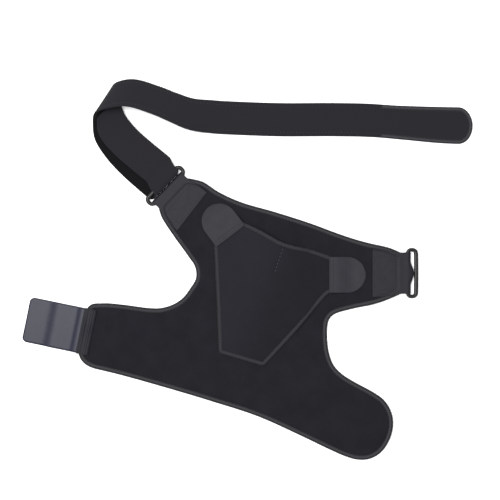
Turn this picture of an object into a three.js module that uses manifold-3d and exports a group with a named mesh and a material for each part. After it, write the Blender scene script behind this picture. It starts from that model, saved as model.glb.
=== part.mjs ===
// Shoulder brace lying open on a table, in millimetres, +Z up.
// Foam cloth body with bound edges, a raised shoulder flap, a black bar loop at each end,
// a hook plate on the arm band, and a long chest strap doubled back through the left loop.
import * as THREE from 'three';
import { mergeVertices } from 'three/addons/utils/BufferGeometryUtils.js';
import Module from 'manifold-3d';

const wasm = await Module();
wasm.setup();

// Clearances
const gap = 0.3;                 // between cloths that lie on each other
const slotPlay = 11.6;           // ring slot longer than the strap is wide
const tabPlay = 3;               // ring slot longer than the webbing in it
const barPlay = 0.4;             // round a ring bar inside its webbing loop
const noseGap = 1;               // between the strap's turn and the webbing's turn in the left ring

// Body panel
const panelLength = 390;
const panelDepth = 338.4;
const panelThickness = 4;
const ringEndRadius = 7;
const armUpperRadius = 10;
const armLowerRadius = 27;

// Edge binding
const tapeWidth = 5.4;
const tapeThickness = 0.7;

// Shoulder flap
const flapWidthShare = 0.3754;   // the flap is cut in step with the panel: share of its length
const flapHeightShare = 0.5142;  // and of its depth
const flapWidth = flapWidthShare * panelLength;
const flapHeight = flapHeightShare * panelDepth;
const flapThickness = 3;
const flapTapeWidth = 4.8;
const flapTapeThickness = 0.6;
const flapCornerRadius = 7;
const flapRise = 8;
const riseHalfWidth = 44;
const riseHalfLength = 100;
const riseTurn = 16;

// D-shaped tabs of the flap
const dTabLength = 44;
const dTabWidth = 43;
const dTabThickness = 1.4;
const dTabLap = 8.5;
const dTabDrop = 9;

// Rings and the webbing patches that hold them
const barDiameter = 4.4;
const ringReach = 10.2;          // between the middles of the near and the far bar
const ringCornerRadius = 3;
const barSetbacks = { left: 5, right: 5.5 };     // from the panel's end to the near bar
const foldGap = 0.5;             // from the panel's end to the start of the webbing's turn
const ringTabLengths = { left: 39.5, right: 42.3 };   // from the near bar to the sewn end
const ringTabRoot = 58;          // width at the sewn end on the panel
const ringTabThickness = 1;
const ringTabUnder = 20;         // leaf that returns under the panel
const ringTabSkews = { left: -3.2, right: 0 };   // slant of the sewn end
const foldBulge = 4;             // push of the right patch's fold into its ring
const foldBulgeShare = 0.5;      // part of the fold that is pushed

// Hook plate on the arm band
const plateLength = 80;
const plateWidth = 54.4;
const plateThickness = 1.2;
const plateLap = 12;
const plateCornerRadius = 6;
const plateShift = 4;            // from the middle of the arm end towards the armhole

// Chest strap
const strapWidth = 40;
const strapThickness = 2.4;
const strapRoot = 7.6;           // origin of the strap's sections, out from the left ring's near bar
const strapRun = 370;            // from that origin to the free end
const strapOffset = 78.7;        // from that origin to the run
const foldHeight = 24;
const strapEndWidth = 44;
const strapEndRound = 20;
const strapTapeWidth = 4.8;
const strapTapeThickness = 0.5;
const strapTapeRun = 110;        // length of the bound stretch
const doubledShift = 14;         // side step of the doubled-back layer at the ring
const doubledEndShift = 6;       // and at its end in the fold
const wrapShift = 4.8;           // side step of the strap as it turns round the ring's bar
const wrapDip = 0.5;             // the upper leaf's drop just past the bar

// Fineness of the faceted surfaces
const gridPitch = 14;
const finePitch = 1.5;
const cornerPoints = 10;
const chordError = 0.24;
const longestStep = 18;
const barSides = 10;
const barCornerSteps = 4;
const foldSteps = 8;
const clothAcross = 4;
const tallest = 60;
const strapStep = 0.4;           // part of a section between two rows of the strap's surface
const frameStep = 0.02;          // part of a section over which its direction is taken

// Outline of the panel, anticlockwise, as shares of its length and depth.
// Each span is one smooth line; where two spans meet there is a rounded corner.
const panelSpans = {
  rightEnd: [
    { along: 1.006, up: 0.590 }, { along: 1.006, up: 0.731 },
  ],
  upperEdge: [
    { along: 1.006, up: 0.731 }, { along: 0.962, up: 0.751 }, { along: 0.894, up: 0.769 },
    { along: 0.823, up: 0.794 }, { along: 0.719, up: 0.838 }, { along: 0.613, up: 0.877 },
    { along: 0.506, up: 0.913 }, { along: 0.438, up: 0.949 }, { along: 0.391, up: 0.984 },
    { along: 0.338, up: 1.000 },
  ],
  leftEnd: [
    { along: 0.338, up: 1.000 }, { along: 0.252, up: 0.897 },
  ],
  armhole: [
    { along: 0.252, up: 0.897 }, { along: 0.266, up: 0.855 }, { along: 0.304, up: 0.788 },
    { along: 0.347, up: 0.719 }, { along: 0.367, up: 0.683 }, { along: 0.370, up: 0.643 },
    { along: 0.352, up: 0.606 }, { along: 0.329, up: 0.572 }, { along: 0.298, up: 0.549 },
    { along: 0.262, up: 0.537 }, { along: 0.226, up: 0.537 }, { along: 0.152, up: 0.548 },
    { along: 0.098, up: 0.554 }, { along: 0.038, up: 0.553 },
  ],
  armEnd: [
    { along: 0.038, up: 0.553 }, { along: -0.005, up: 0.340 },
  ],
  lowerEdge: [
    { along: -0.005, up: 0.340 }, { along: 0.062, up: 0.321 }, { along: 0.134, up: 0.301 },
    { along: 0.277, up: 0.255 }, { along: 0.419, up: 0.206 }, { along: 0.560, up: 0.153 },
    { along: 0.695, up: 0.083 }, { along: 0.782, up: 0.035 }, { along: 0.830, up: 0.011 },
    { along: 0.865, up: 0.000 }, { along: 0.902, up: 0.002 }, { along: 0.935, up: 0.022 },
    { along: 0.958, up: 0.055 }, { along: 0.972, up: 0.094 }, { along: 0.976, up: 0.137 },
    { along: 0.967, up: 0.178 }, { along: 0.946, up: 0.213 }, { along: 0.916, up: 0.238 },
    { along: 0.851, up: 0.279 }, { along: 0.820, up: 0.302 }, { along: 0.794, up: 0.333 },
    { along: 0.780, up: 0.372 }, { along: 0.774, up: 0.415 }, { along: 0.773, up: 0.458 },
    { along: 0.778, up: 0.494 }, { along: 0.794, up: 0.514 }, { along: 0.847, up: 0.533 },
    { along: 0.919, up: 0.551 }, { along: 0.962, up: 0.568 }, { along: 1.006, up: 0.590 },
  ],
};

// Outline of the flap, anticlockwise, as shares of its width and height.
// Its two upper corners run on under the D-shaped tabs.
const flapSpans = {
  underRightTab: [
    { along: 1.004, up: 0.514 }, { along: 1.000, up: 0.745 },
  ],
  mouth: [
    { along: 1.000, up: 0.745 }, { along: 0.950, up: 0.765 }, { along: 0.909, up: 0.786 },
    { along: 0.834, up: 0.809 }, { along: 0.723, up: 0.827 }, { along: 0.616, up: 0.841 },
    { along: 0.546, up: 0.860 }, { along: 0.456, up: 0.903 }, { along: 0.366, up: 0.944 },
    { along: 0.280, up: 0.978 }, { along: 0.225, up: 1.000 },
  ],
  underLeftTab: [
    { along: 0.225, up: 1.000 }, { along: 0.010, up: 0.866 },
  ],
  leftEdge: [
    { along: 0.010, up: 0.866 }, { along: 0.014, up: 0.800 }, { along: 0.034, up: 0.450 },
    { along: 0.050, up: 0.092 },
  ],
  sewnEdge: [
    { along: 0.050, up: 0.092 }, { along: 0.418, up: 0.000 },
  ],
  rightEdge: [
    { along: 0.418, up: 0.000 }, { along: 0.680, up: 0.240 }, { along: 0.950, up: 0.500 },
    { along: 1.004, up: 0.514 },
  ],
};
const flapPlace = { along: 0.4215, up: 0.3316 };   // flap's lower left corner on the panel
const risePlace = { along: 0.530, up: 0.760 };     // top of the raised part on the flap

// Middle of each tab's sewn edge on the flap, and the way that the tab points, in degrees.
const dTabs = [
  { name: 'flap_tab_left', along: 0.148, up: 0.893, points: 127 },
  { name: 'flap_tab_right', along: 0.951, up: 0.628, points: 0 },
];

// Low swells of the panel off the table: place as shares of the panel,
// spread as a share of its length and height as a share of its thickness.
const rampFlat = 21;             // panel still level this far past the returning leaf of the webbing
const rampLength = 30;           // then it slopes down to the table
const rampBeside = 0.75;         // and beside the webbing, from this share of the webbing's width
const rampBesideSlope = 0.6;     // over this share of it
const swells = [
  { along: 0.150, up: 0.430, spread: 0.110, height: 0.70 },
  { along: 0.905, up: 0.120, spread: 0.090, height: 0.55 },
];

// Height of the hook plate's underside along its length, from the panel outwards:
// share of its length and share of the panel's thickness.
const plateWave = [
  { along: 0.00, height: 1.00 }, { along: 0.15, height: 1.00 }, { along: 0.29, height: 1.25 },
  { along: 0.53, height: 0.10 }, { along: 0.73, height: 0.85 }, { along: 1.00, height: 0.04 },
];

// Rows of the small sheets, as shares of their lengths
const dTabSteps = [0, 0.1, 0.19, 0.29, 0.39, 0.5, 0.65, 0.78, 0.88, 0.95, 0.99];
const dTabStraight = 0.5;
const ringTabSteps = [0, 0.25, 0.5, 0.75, 1];
const plateSteps = [
  0, 0.08, 0.15, 0.22, 0.29, 0.36, 0.44, 0.53, 0.6, 0.67, 0.73, 0.8, 0.87, 0.93, 0.97, 0.995,
];
const strapEndSteps = [0, 0.3, 0.55, 0.75, 0.88, 0.96, 0.99];

// Chest strap from the left ring to its free end, seen from above: middle of each section as shares
// of strapRun and strapOffset from their origin, height as a share of foldHeight, direction of
// the section across the strap and its bank, both in degrees.
const strapSections = [
  { along: -0.042, away: 0.089, height: 0.00, across: 47, bank: 0 },
  { along: -0.099, away: 0.329, height: 0.00, across: 45, bank: 0 },
  { along: -0.147, away: 0.574, height: 0.00, across: 44, bank: 0 },
  { along: -0.183, away: 0.841, height: 0.03, across: 43, bank: -1 },
  { along: -0.193, away: 1.095, height: 0.14, across: 48, bank: -8 },
  { along: -0.190, away: 1.285, height: 0.41, across: 59, bank: -17 },
  { along: -0.148, away: 1.360, height: 0.70, across: 71, bank: -26 },
  { along: -0.097, away: 1.370, height: 0.72, across: 74, bank: -28 },
  { along: -0.024, away: 1.267, height: 0.56, across: 73, bank: -28 },
  { along: 0.029, away: 1.168, height: 0.43, across: 74, bank: -25 },
  { along: 0.088, away: 1.068, height: 0.25, across: 80, bank: -15 },
  { along: 0.155, away: 1.032, height: 0.05, across: 86, bank: -2 },
  { along: 0.226, away: 1.012, height: 0.00, across: 89, bank: 0 },
  { along: 0.375, away: 0.988, height: 0.00, across: 90, bank: 0 },
  { along: 0.537, away: 0.989, height: 0.00, across: 90, bank: 0 },
  { along: 0.661, away: 0.979, height: 0.00, across: 91, bank: 0 },
  { along: 0.765, away: 0.944, height: 0.00, across: 92, bank: 0 },
  { along: 0.896, away: 0.906, height: 0.00, across: 91, bank: 0 },
  { along: 1.000, away: 0.895, height: 0.00, across: 90, bank: 0 },
];
const doubledSections = 4.2;     // the doubled-back layer ends this many sections up the strap

const radians = Math.PI / 180;

// Colours and finishes
const materials = {
  foam: { color: 0x2a292e, roughness: 0.9, metalness: 0 },
  tape: { color: 0x3a3a3e, roughness: 0.8, metalness: 0 },
  flap: { color: 0x2f3035, roughness: 0.9, metalness: 0 },
  hook: { color: 0x48494c, roughness: 0.75, metalness: 0 },
  webbing: { color: 0x3e3f43, roughness: 0.7, metalness: 0 },
  loop: { color: 0x3d3f41, roughness: 0.45, metalness: 0.6 },
  plate: { color: 0x5b5b65, roughness: 0.35, metalness: 0 },
  strap: { color: 0x2f2e33, roughness: 0.9, metalness: 0 },
};

// Small steps of arithmetic
const mix = (a, b, t) => a + (b - a) * t;
const clamp01 = (t) => Math.min(1, Math.max(0, t));
const ease = (t) => clamp01(t) ** 2 * (3 - 2 * clamp01(t));
const heading = (degrees) => new THREE.Vector2(Math.cos(degrees * radians), Math.sin(degrees * radians));

// Value of a named column between the rows of a table, by a share of the first column.
function between(table, key, column, t) {
  const after = table.findIndex((row) => row[key] >= t);
  if (after <= 0) {
    return table[after < 0 ? table.length - 1 : 0][column];
  }
  const a = table[after - 1];
  const b = table[after];
  return mix(a[column], b[column], ease((t - a[key]) / (b[key] - a[key])));
}

// A closed solid from points and triangles, with its faces turned outwards.
function solid(points, faces) {
  let volume = 0;
  for (const [a, b, c] of faces) {
    volume += points[a].dot(new THREE.Vector3().crossVectors(points[b], points[c]));
  }
  const triVerts = new Uint32Array(faces.flatMap(([a, b, c]) => (volume < 0 ? [a, c, b] : [a, b, c])));
  const vertProperties = new Float32Array(points.flatMap((p) => [p.x, p.y, p.z]));
  return new wasm.Manifold(new wasm.Mesh({ numProp: 3, vertProperties, triVerts }));
}

function toGeometry(shape) {
  const { vertProperties, triVerts } = shape.getMesh();
  const geometry = new THREE.BufferGeometry();
  geometry.setAttribute('position', new THREE.BufferAttribute(vertProperties, 3));
  geometry.setIndex([...triVerts]);
  geometry.computeVertexNormals();
  return geometry;
}

// A profile of plane points carried through sections, each of which maps profile points to space.
function sweep(sections, profile, closed) {
  const count = profile.length;
  const points = sections.flatMap((toSpace) => profile.map(toSpace));
  const faces = [];
  const steps = closed ? sections.length : sections.length - 1;
  for (let i = 0; i < steps; i += 1) {
    const next = ((i + 1) % sections.length) * count;
    for (let j = 0; j < count; j += 1) {
      const k = (j + 1) % count;
      faces.push([i * count + j, i * count + k, next + k], [i * count + j, next + k, next + j]);
    }
  }
  if (!closed) {
    const end = (sections.length - 1) * count;
    const turned = THREE.ShapeUtils.area(profile) < 0;
    for (const [a, b, c] of THREE.ShapeUtils.triangulateShape(profile, [])) {
      const [p, q] = turned ? [b, c] : [c, b];
      faces.push([a, p, q], [end + a, end + q, end + p]);
    }
  }
  return solid(points, faces);
}

// A closed solid between two grids of points that share their rows and columns.
function closeGrids(top, bottom) {
  const across = top[0].length;
  const under = top.length * across;
  const at = (i, j) => i * across + j;
  const faces = [];
  const rim = [];
  for (let i = 0; i + 1 < top.length; i += 1) {
    for (let j = 0; j + 1 < across; j += 1) {
      const [a, b, c, d] = [at(i, j), at(i + 1, j), at(i + 1, j + 1), at(i, j + 1)];
      faces.push([a, b, c], [a, c, d]);
      faces.push([under + a, under + c, under + b], [under + a, under + d, under + c]);
    }
  }
  for (let i = 0; i + 1 < top.length; i += 1) {
    rim.push(at(i, 0));
  }
  for (let j = 0; j + 1 < across; j += 1) {
    rim.push(at(top.length - 1, j));
  }
  for (let i = top.length - 1; i > 0; i -= 1) {
    rim.push(at(i, across - 1));
  }
  for (let j = across - 1; j > 0; j -= 1) {
    rim.push(at(0, j));
  }
  rim.forEach((a, n) => {
    const b = rim[(n + 1) % rim.length];
    faces.push([b, a, under + a], [b, under + a, under + b]);
  });
  return solid([...top.flat(), ...bottom.flat()], faces);
}

// Unit normals of a grid of points.
function gridNormals(rows) {
  return rows.map((row, i) => row.map((p, j) => {
    const forward = rows[Math.min(rows.length - 1, i + 1)][j].clone().sub(rows[Math.max(0, i - 1)][j]);
    const aside = row[Math.min(row.length - 1, j + 1)].clone().sub(row[Math.max(0, j - 1)]);
    return forward.cross(aside).normalize();
  }));
}

// A sheet of cloth with a thickness, from a grid of points on its middle surface.
function sheet(rows, thickness) {
  const normals = gridNormals(rows);
  const offset = (distance) => rows.map((row, i) => row.map((p, j) => (
    p.clone().addScaledVector(normals[i][j], distance))));
  return closeGrids(offset(thickness / 2), offset(-thickness / 2));
}

// Places of table rows on a piece of a given size and corner
function placeRow(row, corner, width, height) {
  return new THREE.Vector2(corner.x + row.along * width, corner.y + row.up * height);
}

// Dense points along smooth spans whose meeting corners are rounded; a radius belongs to a span's start.
function outlineOf(spans, radii) {
  const dense = [];
  const toward = (from, to, distance) => from.clone().lerp(to, distance / from.distanceTo(to));
  spans.forEach((span, s) => {
    const next = spans[(s + 1) % spans.length];
    const nextRadius = radii[(s + 1) % spans.length];
    const start = toward(span[0], span[1], radii[s]);
    const end = toward(span[span.length - 1], span[span.length - 2], nextRadius);
    const knots = [start, ...span.slice(1, -1), end].map((p) => new THREE.Vector3(p.x, p.y, 0));
    const line = new THREE.CatmullRomCurve3(knots, false, 'centripetal');
    for (const p of line.getSpacedPoints(Math.ceil(line.getLength() / finePitch))) {
      dense.push(new THREE.Vector2(p.x, p.y));
    }
    const corner = new THREE.QuadraticBezierCurve(end, next[0], toward(next[0], next[1], nextRadius));
    dense.push(...corner.getPoints(cornerPoints).slice(1, -1));
  });
  return thin(dense, true);
}

// Fewest points that keep a line within the chord error, no further apart than the longest step.
function thin(dense, closed) {
  const line = closed ? [...dense, dense[0]] : dense;
  const fits = (from, to) => {
    const chord = line[to].clone().sub(line[from]);
    const length = chord.length();
    return length < longestStep && line.slice(from + 1, to).every((p) => (
      Math.abs(chord.cross(p.clone().sub(line[from]))) / length < chordError));
  };
  const kept = [line[0]];
  for (let from = 0; from < line.length - 1;) {
    let to = from + 1;
    while (to + 1 < line.length && fits(from, to + 1)) {
      to += 1;
    }
    kept.push(line[to]);
    from = to;
  }
  return closed ? kept.slice(0, -1) : kept;
}

// Each point of a line with the direction that lies to the left of it, inwards on an outline.
function edgeStations(points, closed) {
  const count = points.length;
  return points.map((p, i) => {
    const before = closed ? points[(i + count - 1) % count] : points[Math.max(0, i - 1)];
    const after = closed ? points[(i + 1) % count] : points[Math.min(count - 1, i + 1)];
    const along = p.clone().sub(before).normalize().add(after.clone().sub(p).normalize()).normalize();
    return { point: p, inward: new THREE.Vector2(-along.y, along.x) };
  });
}

// Folded tape round an edge: inward distance and height over the underside of the cloth.
function tapeProfile(width, tape, thickness) {
  return [
    [0, thickness / 2], [tape, 0], [width, 0], [width, tape], [tape, tape],
    [tape, thickness - tape], [width, thickness - tape], [width, thickness], [tape, thickness],
  ].map(([d, z]) => new THREE.Vector2(d, z));
}

// Room that the folded tape takes out of the cloth, with the clearance round it.
function rebateProfile(width, tape, thickness) {
  const leg = tape + gap;
  return [
    [-gap, -thickness], [width + gap, -thickness], [width + gap, leg], [leg, leg], [leg, thickness - leg],
    [width + gap, thickness - leg], [width + gap, 2 * thickness], [-gap, 2 * thickness],
  ].map(([d, z]) => new THREE.Vector2(d, z));
}

function onEdge(stations, ground) {
  return stations.map(({ point, inward }) => (q) => {
    const x = point.x + inward.x * q.x;
    const y = point.y + inward.y * q.x;
    return new THREE.Vector3(x, y, ground(x, y) + q.y);
  });
}

// A height taken on the points of a common grid and flat between them, so that layers stay parallel.
function onGrid(height) {
  const known = new Map();
  const node = (i, j) => {
    const key = `${i},${j}`;
    if (!known.has(key)) {
      known.set(key, height(i * gridPitch, j * gridPitch));
    }
    return known.get(key);
  };
  return (x, y) => {
    const i = Math.floor(x / gridPitch);
    const j = Math.floor(y / gridPitch);
    const u = x / gridPitch - i;
    const v = y / gridPitch - j;
    const near = node(i, j);
    const far = node(i + 1, j + 1);
    if (u > v) {
      const side = node(i + 1, j);
      return near + u * (side - near) + v * (far - side);
    }
    const side = node(i, j + 1);
    return near + v * (side - near) + u * (far - side);
  };
}

// A layer of cloth over a height, a little wider than the outline that is cut from it.
function layer(outline, ground, thickness) {
  const box = new THREE.Box2().setFromPoints(outline);
  const first = box.min.clone().divideScalar(gridPitch).floor().subScalar(1);
  const last = box.max.clone().divideScalar(gridPitch).ceil().addScalar(1);
  const grid = (lift) => {
    const rows = [];
    for (let i = first.x; i <= last.x; i += 1) {
      const row = [];
      for (let j = first.y; j <= last.y; j += 1) {
        const [x, y] = [i * gridPitch, j * gridPitch];
        row.push(new THREE.Vector3(x, y, ground(x, y) + lift));
      }
      rows.push(row);
    }
    return rows;
  };
  return closeGrids(grid(thickness), grid(0));
}

// Upright prism of an outline, taller than any height of the cloth.
function prism(outline, low, high) {
  const shape = new THREE.Shape(outline);
  const geometry = new THREE.ExtrudeGeometry(shape, { depth: high - low, bevelEnabled: false });
  geometry.translate(0, 0, low);
  geometry.deleteAttribute('normal');
  geometry.deleteAttribute('uv');
  const { attributes, index } = mergeVertices(geometry);
  const vertProperties = new Float32Array(attributes.position.array);
  const triVerts = new Uint32Array(index.array);
  return new wasm.Manifold(new wasm.Mesh({ numProp: 3, vertProperties, triVerts }));
}

// Cloth cut to an outline, pressed thin at its edge, and the tape that is folded round that edge.
function boundCloth(outline, ground, thickness, width, tape) {
  const edge = onEdge(edgeStations(outline, true), ground);
  const rebate = sweep(edge, rebateProfile(width, tape, thickness), true);
  const cut = prism(outline, -tallest, tallest);
  return {
    cloth: layer(outline, ground, thickness).intersect(cut).subtract(rebate),
    binding: sweep(edge, tapeProfile(width, tape, thickness), true),
  };
}

// Panel

const panelCorner = new THREE.Vector2(0, 0);
const spansOn = (table, corner, width, height) => (
  Object.values(table).map((span) => span.map((row) => placeRow(row, corner, width, height))));
const panelLines = spansOn(panelSpans, panelCorner, panelLength, panelDepth);
const panelOutline = outlineOf(panelLines, [
  ringEndRadius, ringEndRadius, ringEndRadius, ringEndRadius, armUpperRadius, armLowerRadius]);

// Seat of a ring: the middle of its near bar, with x pointing out of the panel's end and y along the bar.
const loopRadius = barDiameter / 2 + barPlay + ringTabThickness / 2;
const nearBarHeight = loopRadius + ringTabThickness / 2;

function ringSeat([start, end], setback) {
  const along = end.clone().sub(start).normalize();
  const outward = new THREE.Vector2(along.y, -along.x);
  const middle = start.clone().add(end).multiplyScalar(0.5).addScaledVector(outward, setback);
  return { middle, outward, angle: Math.atan2(outward.y, outward.x) };
}

function seatToPlan(seat, x, y) {
  return seat.middle.clone().addScaledVector(seat.outward, x)
    .addScaledVector(new THREE.Vector2(-seat.outward.y, seat.outward.x), y);
}

const spanNames = Object.keys(panelSpans);
const rightSeat = ringSeat(panelLines[spanNames.indexOf('rightEnd')], barSetbacks.right);
const leftSeat = ringSeat(panelLines[spanNames.indexOf('leftEnd')], barSetbacks.left);

// The panel lies on the table, apart from low swells and from its ring ends, which lie on the
// returning leaf of the webbing.
function panelHeight(x, y) {
  let height = 0;
  for (const seat of [leftSeat, rightSeat]) {
    const off = new THREE.Vector2(x, y).sub(seat.middle);
    const inward = -off.dot(seat.outward);
    const aside = Math.abs(off.cross(seat.outward));
    const slope = 1 - ease((inward - ringTabUnder - rampFlat) / rampLength);
    const beside = 1 - ease((aside / ringTabRoot - rampBeside) / rampBesideSlope);
    height += (ringTabThickness + gap) * slope * beside;
  }
  for (const swell of swells) {
    const middle = placeRow(swell, panelCorner, panelLength, panelDepth);
    const near = 1 - (middle.distanceTo(new THREE.Vector2(x, y)) / (swell.spread * panelLength)) ** 2;
    height += near > 0 ? swell.height * panelThickness * near ** 2 : 0;
  }
  return height;
}

const ground = onGrid(panelHeight);

// Shoulder flap

const flapCorner = placeRow(flapPlace, panelCorner, panelLength, panelDepth);
const flapLines = spansOn(flapSpans, flapCorner, flapWidth, flapHeight);
const flapOutline = outlineOf(flapLines, flapLines.map(() => flapCornerRadius));

// The flap stands off the panel in one long soft rise under its mouth.
const onFlap = onGrid((x, y) => {
  const off = new THREE.Vector2(x, y).sub(placeRow(risePlace, flapCorner, flapWidth, flapHeight));
  const along = heading(90 + riseTurn);
  const reach = (off.dot(along) / riseHalfLength) ** 2 + (off.cross(along) / riseHalfWidth) ** 2;
  const near = Math.max(0, 1 - reach);
  return panelHeight(x, y) + panelThickness + gap + flapRise * near ** 2 * (3 - 2 * near);
});

// D-shaped tab: lies on the flap's corner, then drops to the panel.
function dTab({ along, up, points }) {
  const root = placeRow({ along, up }, flapCorner, flapWidth, flapHeight);
  const forward = heading(points);
  const aside = new THREE.Vector2(-forward.y, forward.x);
  const rows = dTabSteps.map((share) => {
    const s = share * dTabLength;
    const round = clamp01((share - dTabStraight) / (1 - dTabStraight));
    const half = (dTabWidth / 2) * Math.sqrt(1 - round ** 2);
    const row = [];
    for (let j = 0; j <= clothAcross; j += 1) {
      const v = mix(-half, half, j / clothAcross);
      const p = root.clone().addScaledVector(forward, s).addScaledVector(aside, v);
      const over = onFlap(p.x, p.y) + flapThickness + gap;
      const beside = ground(p.x, p.y) + panelThickness + gap;
      const height = mix(over, beside, ease((s - dTabLap) / dTabDrop)) + dTabThickness / 2;
      row.push(new THREE.Vector3(p.x, p.y, height));
    }
    return row;
  });
  return sheet(rows, dTabThickness);
}

// Rings

// Closed round bar along a rounded rectangle whose near long side lies on the seat's y axis.
function ring() {
  const half = (strapWidth + slotPlay + barDiameter) / 2;
  const box = new THREE.Path();
  const r = ringCornerRadius;
  box.moveTo(r, -half).lineTo(ringReach - r, -half).quadraticCurveTo(ringReach, -half, ringReach, r - half);
  box.lineTo(ringReach, half - r).quadraticCurveTo(ringReach, half, ringReach - r, half);
  box.lineTo(r, half).quadraticCurveTo(0, half, 0, half - r).lineTo(0, r - half);
  box.quadraticCurveTo(0, -half, r, -half);
  const line = box.curves.flatMap((curve) => {
    const steps = curve.isLineCurve ? Math.ceil(curve.getLength() / longestStep) : barCornerSteps;
    return curve.getPoints(steps).slice(0, -1);
  });
  const sections = edgeStations(line, true).map(({ point, inward }) => (q) => (
    new THREE.Vector3(point.x + inward.x * q.x, point.y + inward.y * q.x, q.y)));
  const circle = [];
  for (let k = 0; k < barSides; k += 1) {
    circle.push(heading((k * 360) / barSides).multiplyScalar(barDiameter / 2));
  }
  return sweep(sections, circle, true);
}

// Webbing patch: over the panel's end, round the near bar and back under the panel.
// Worked out in the seat's own frame, with its upper leaf laid on the panel.
function ringTab(side, seat, bulge) {
  const mouth = strapWidth + slotPlay - tabPlay;
  const straight = barSetbacks[side] - foldGap;
  const upper = ringTabThickness / 2 + gap + panelThickness;
  const line = [];
  for (const share of ringTabSteps) {
    line.push({ x: mix(-ringTabLengths[side], -straight, share), leaf: share, laid: true });
  }
  for (let k = 0; k <= foldSteps; k += 1) {
    const turn = (k / foldSteps) * Math.PI;
    line.push({ x: loopRadius * Math.sin(turn), z: nearBarHeight + loopRadius * Math.cos(turn), turn });
  }
  line.push({ x: -straight, z: ringTabThickness / 2 }, { x: -ringTabUnder, z: ringTabThickness / 2 });
  const rows = line.map(({ x, z, leaf, laid, turn }) => {
    const row = [];
    const half = laid ? mix(ringTabRoot, mouth, ease(leaf)) / 2 : mouth / 2;
    for (let j = 0; j <= foldSteps; j += 1) {
      const v = mix(-1, 1, j / foldSteps);
      const slant = laid ? ringTabSkews[side] * v * (1 - leaf) : 0;
      const pointed = Math.max(0, 1 - Math.abs(v) / foldBulgeShare) ** 2;
      const push = turn === undefined ? 0 : bulge * Math.sin(turn) * pointed;
      const plan = seatToPlan(seat, x + slant, v * half);
      row.push(new THREE.Vector3(x + slant + push, v * half, laid ? ground(plan.x, plan.y) + upper : z));
    }
    return row;
  });
  return sheet(rows, ringTabThickness);
}

// Hook plate: lies on the panel's arm end and waves down to the table.
function hookPlate() {
  const [start, end] = panelLines[spanNames.indexOf('armEnd')];
  const down = end.clone().sub(start).normalize();
  const outward = new THREE.Vector2(down.y, -down.x);
  const root = start.clone().add(end).multiplyScalar(0.5).addScaledVector(outward, -plateLap)
    .addScaledVector(down, -plateShift);
  const rows = plateSteps.map((share) => {
    const s = share * plateLength;
    const past = Math.max(0, s - (plateLength - plateCornerRadius));
    const half = plateWidth / 2 - plateCornerRadius + Math.sqrt(plateCornerRadius ** 2 - past ** 2);
    const row = [];
    for (let j = 0; j <= clothAcross; j += 1) {
      const p = root.clone().addScaledVector(outward, s)
        .addScaledVector(down, mix(-half, half, j / clothAcross));
      const lift = between(plateWave, 'along', 'height', share) * (panelThickness + gap);
      row.push(new THREE.Vector3(p.x, p.y, lift + plateThickness / 2));
    }
    return row;
  });
  return sheet(rows, plateThickness);
}

// Chest strap

const strapOrigin = seatToPlan(leftSeat, strapRoot, 0);
const farBarHeight = strapThickness + gap + barDiameter / 2;

// Smooth value of a column at a place in a table, counted in rows.
function columnAt(table, column, t) {
  const row = (i) => table[Math.min(table.length - 1, Math.max(0, i))][column];
  const i = Math.min(table.length - 2, Math.floor(t));
  const u = t - i;
  const slopeIn = (row(i + 1) - row(i - 1)) / 2;
  const slopeOut = (row(i + 2) - row(i)) / 2;
  const rise = row(i + 1) - row(i);
  const bend = slopeIn + slopeOut - 2 * rise;
  return row(i) + u * (slopeIn + u * (3 * rise - 2 * slopeIn - slopeOut + u * bend));
}

function strapMiddle(t) {
  const column = (name) => columnAt(strapSections, name, t);
  const height = Math.max(0, column('height')) * foldHeight + strapThickness / 2;
  return new THREE.Vector3(
    strapOrigin.x + column('along') * strapRun, strapOrigin.y + column('away') * strapOffset, height);
}

// Middle, direction across and direction towards the inside of the loop, at a place along the strap.
function strapFrame(t) {
  const middle = strapMiddle(t);
  const forward = strapMiddle(Math.min(strapSections.length - 1, t + frameStep))
    .sub(strapMiddle(Math.max(0, t - frameStep)));
  const turn = columnAt(strapSections, 'across', t) * radians;
  const bank = columnAt(strapSections, 'bank', t) * radians;
  const across = new THREE.Vector3(
    Math.cos(turn) * Math.cos(bank), Math.sin(turn) * Math.cos(bank), Math.sin(bank));
  return { middle, across, inside: across.clone().cross(forward).normalize() };
}

function strapRow(middle, across, width) {
  const row = [];
  for (let j = 0; j <= clothAcross; j += 1) {
    row.push(middle.clone().addScaledVector(across, mix(-width / 2, width / 2, j / clothAcross)));
  }
  return row;
}

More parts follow.
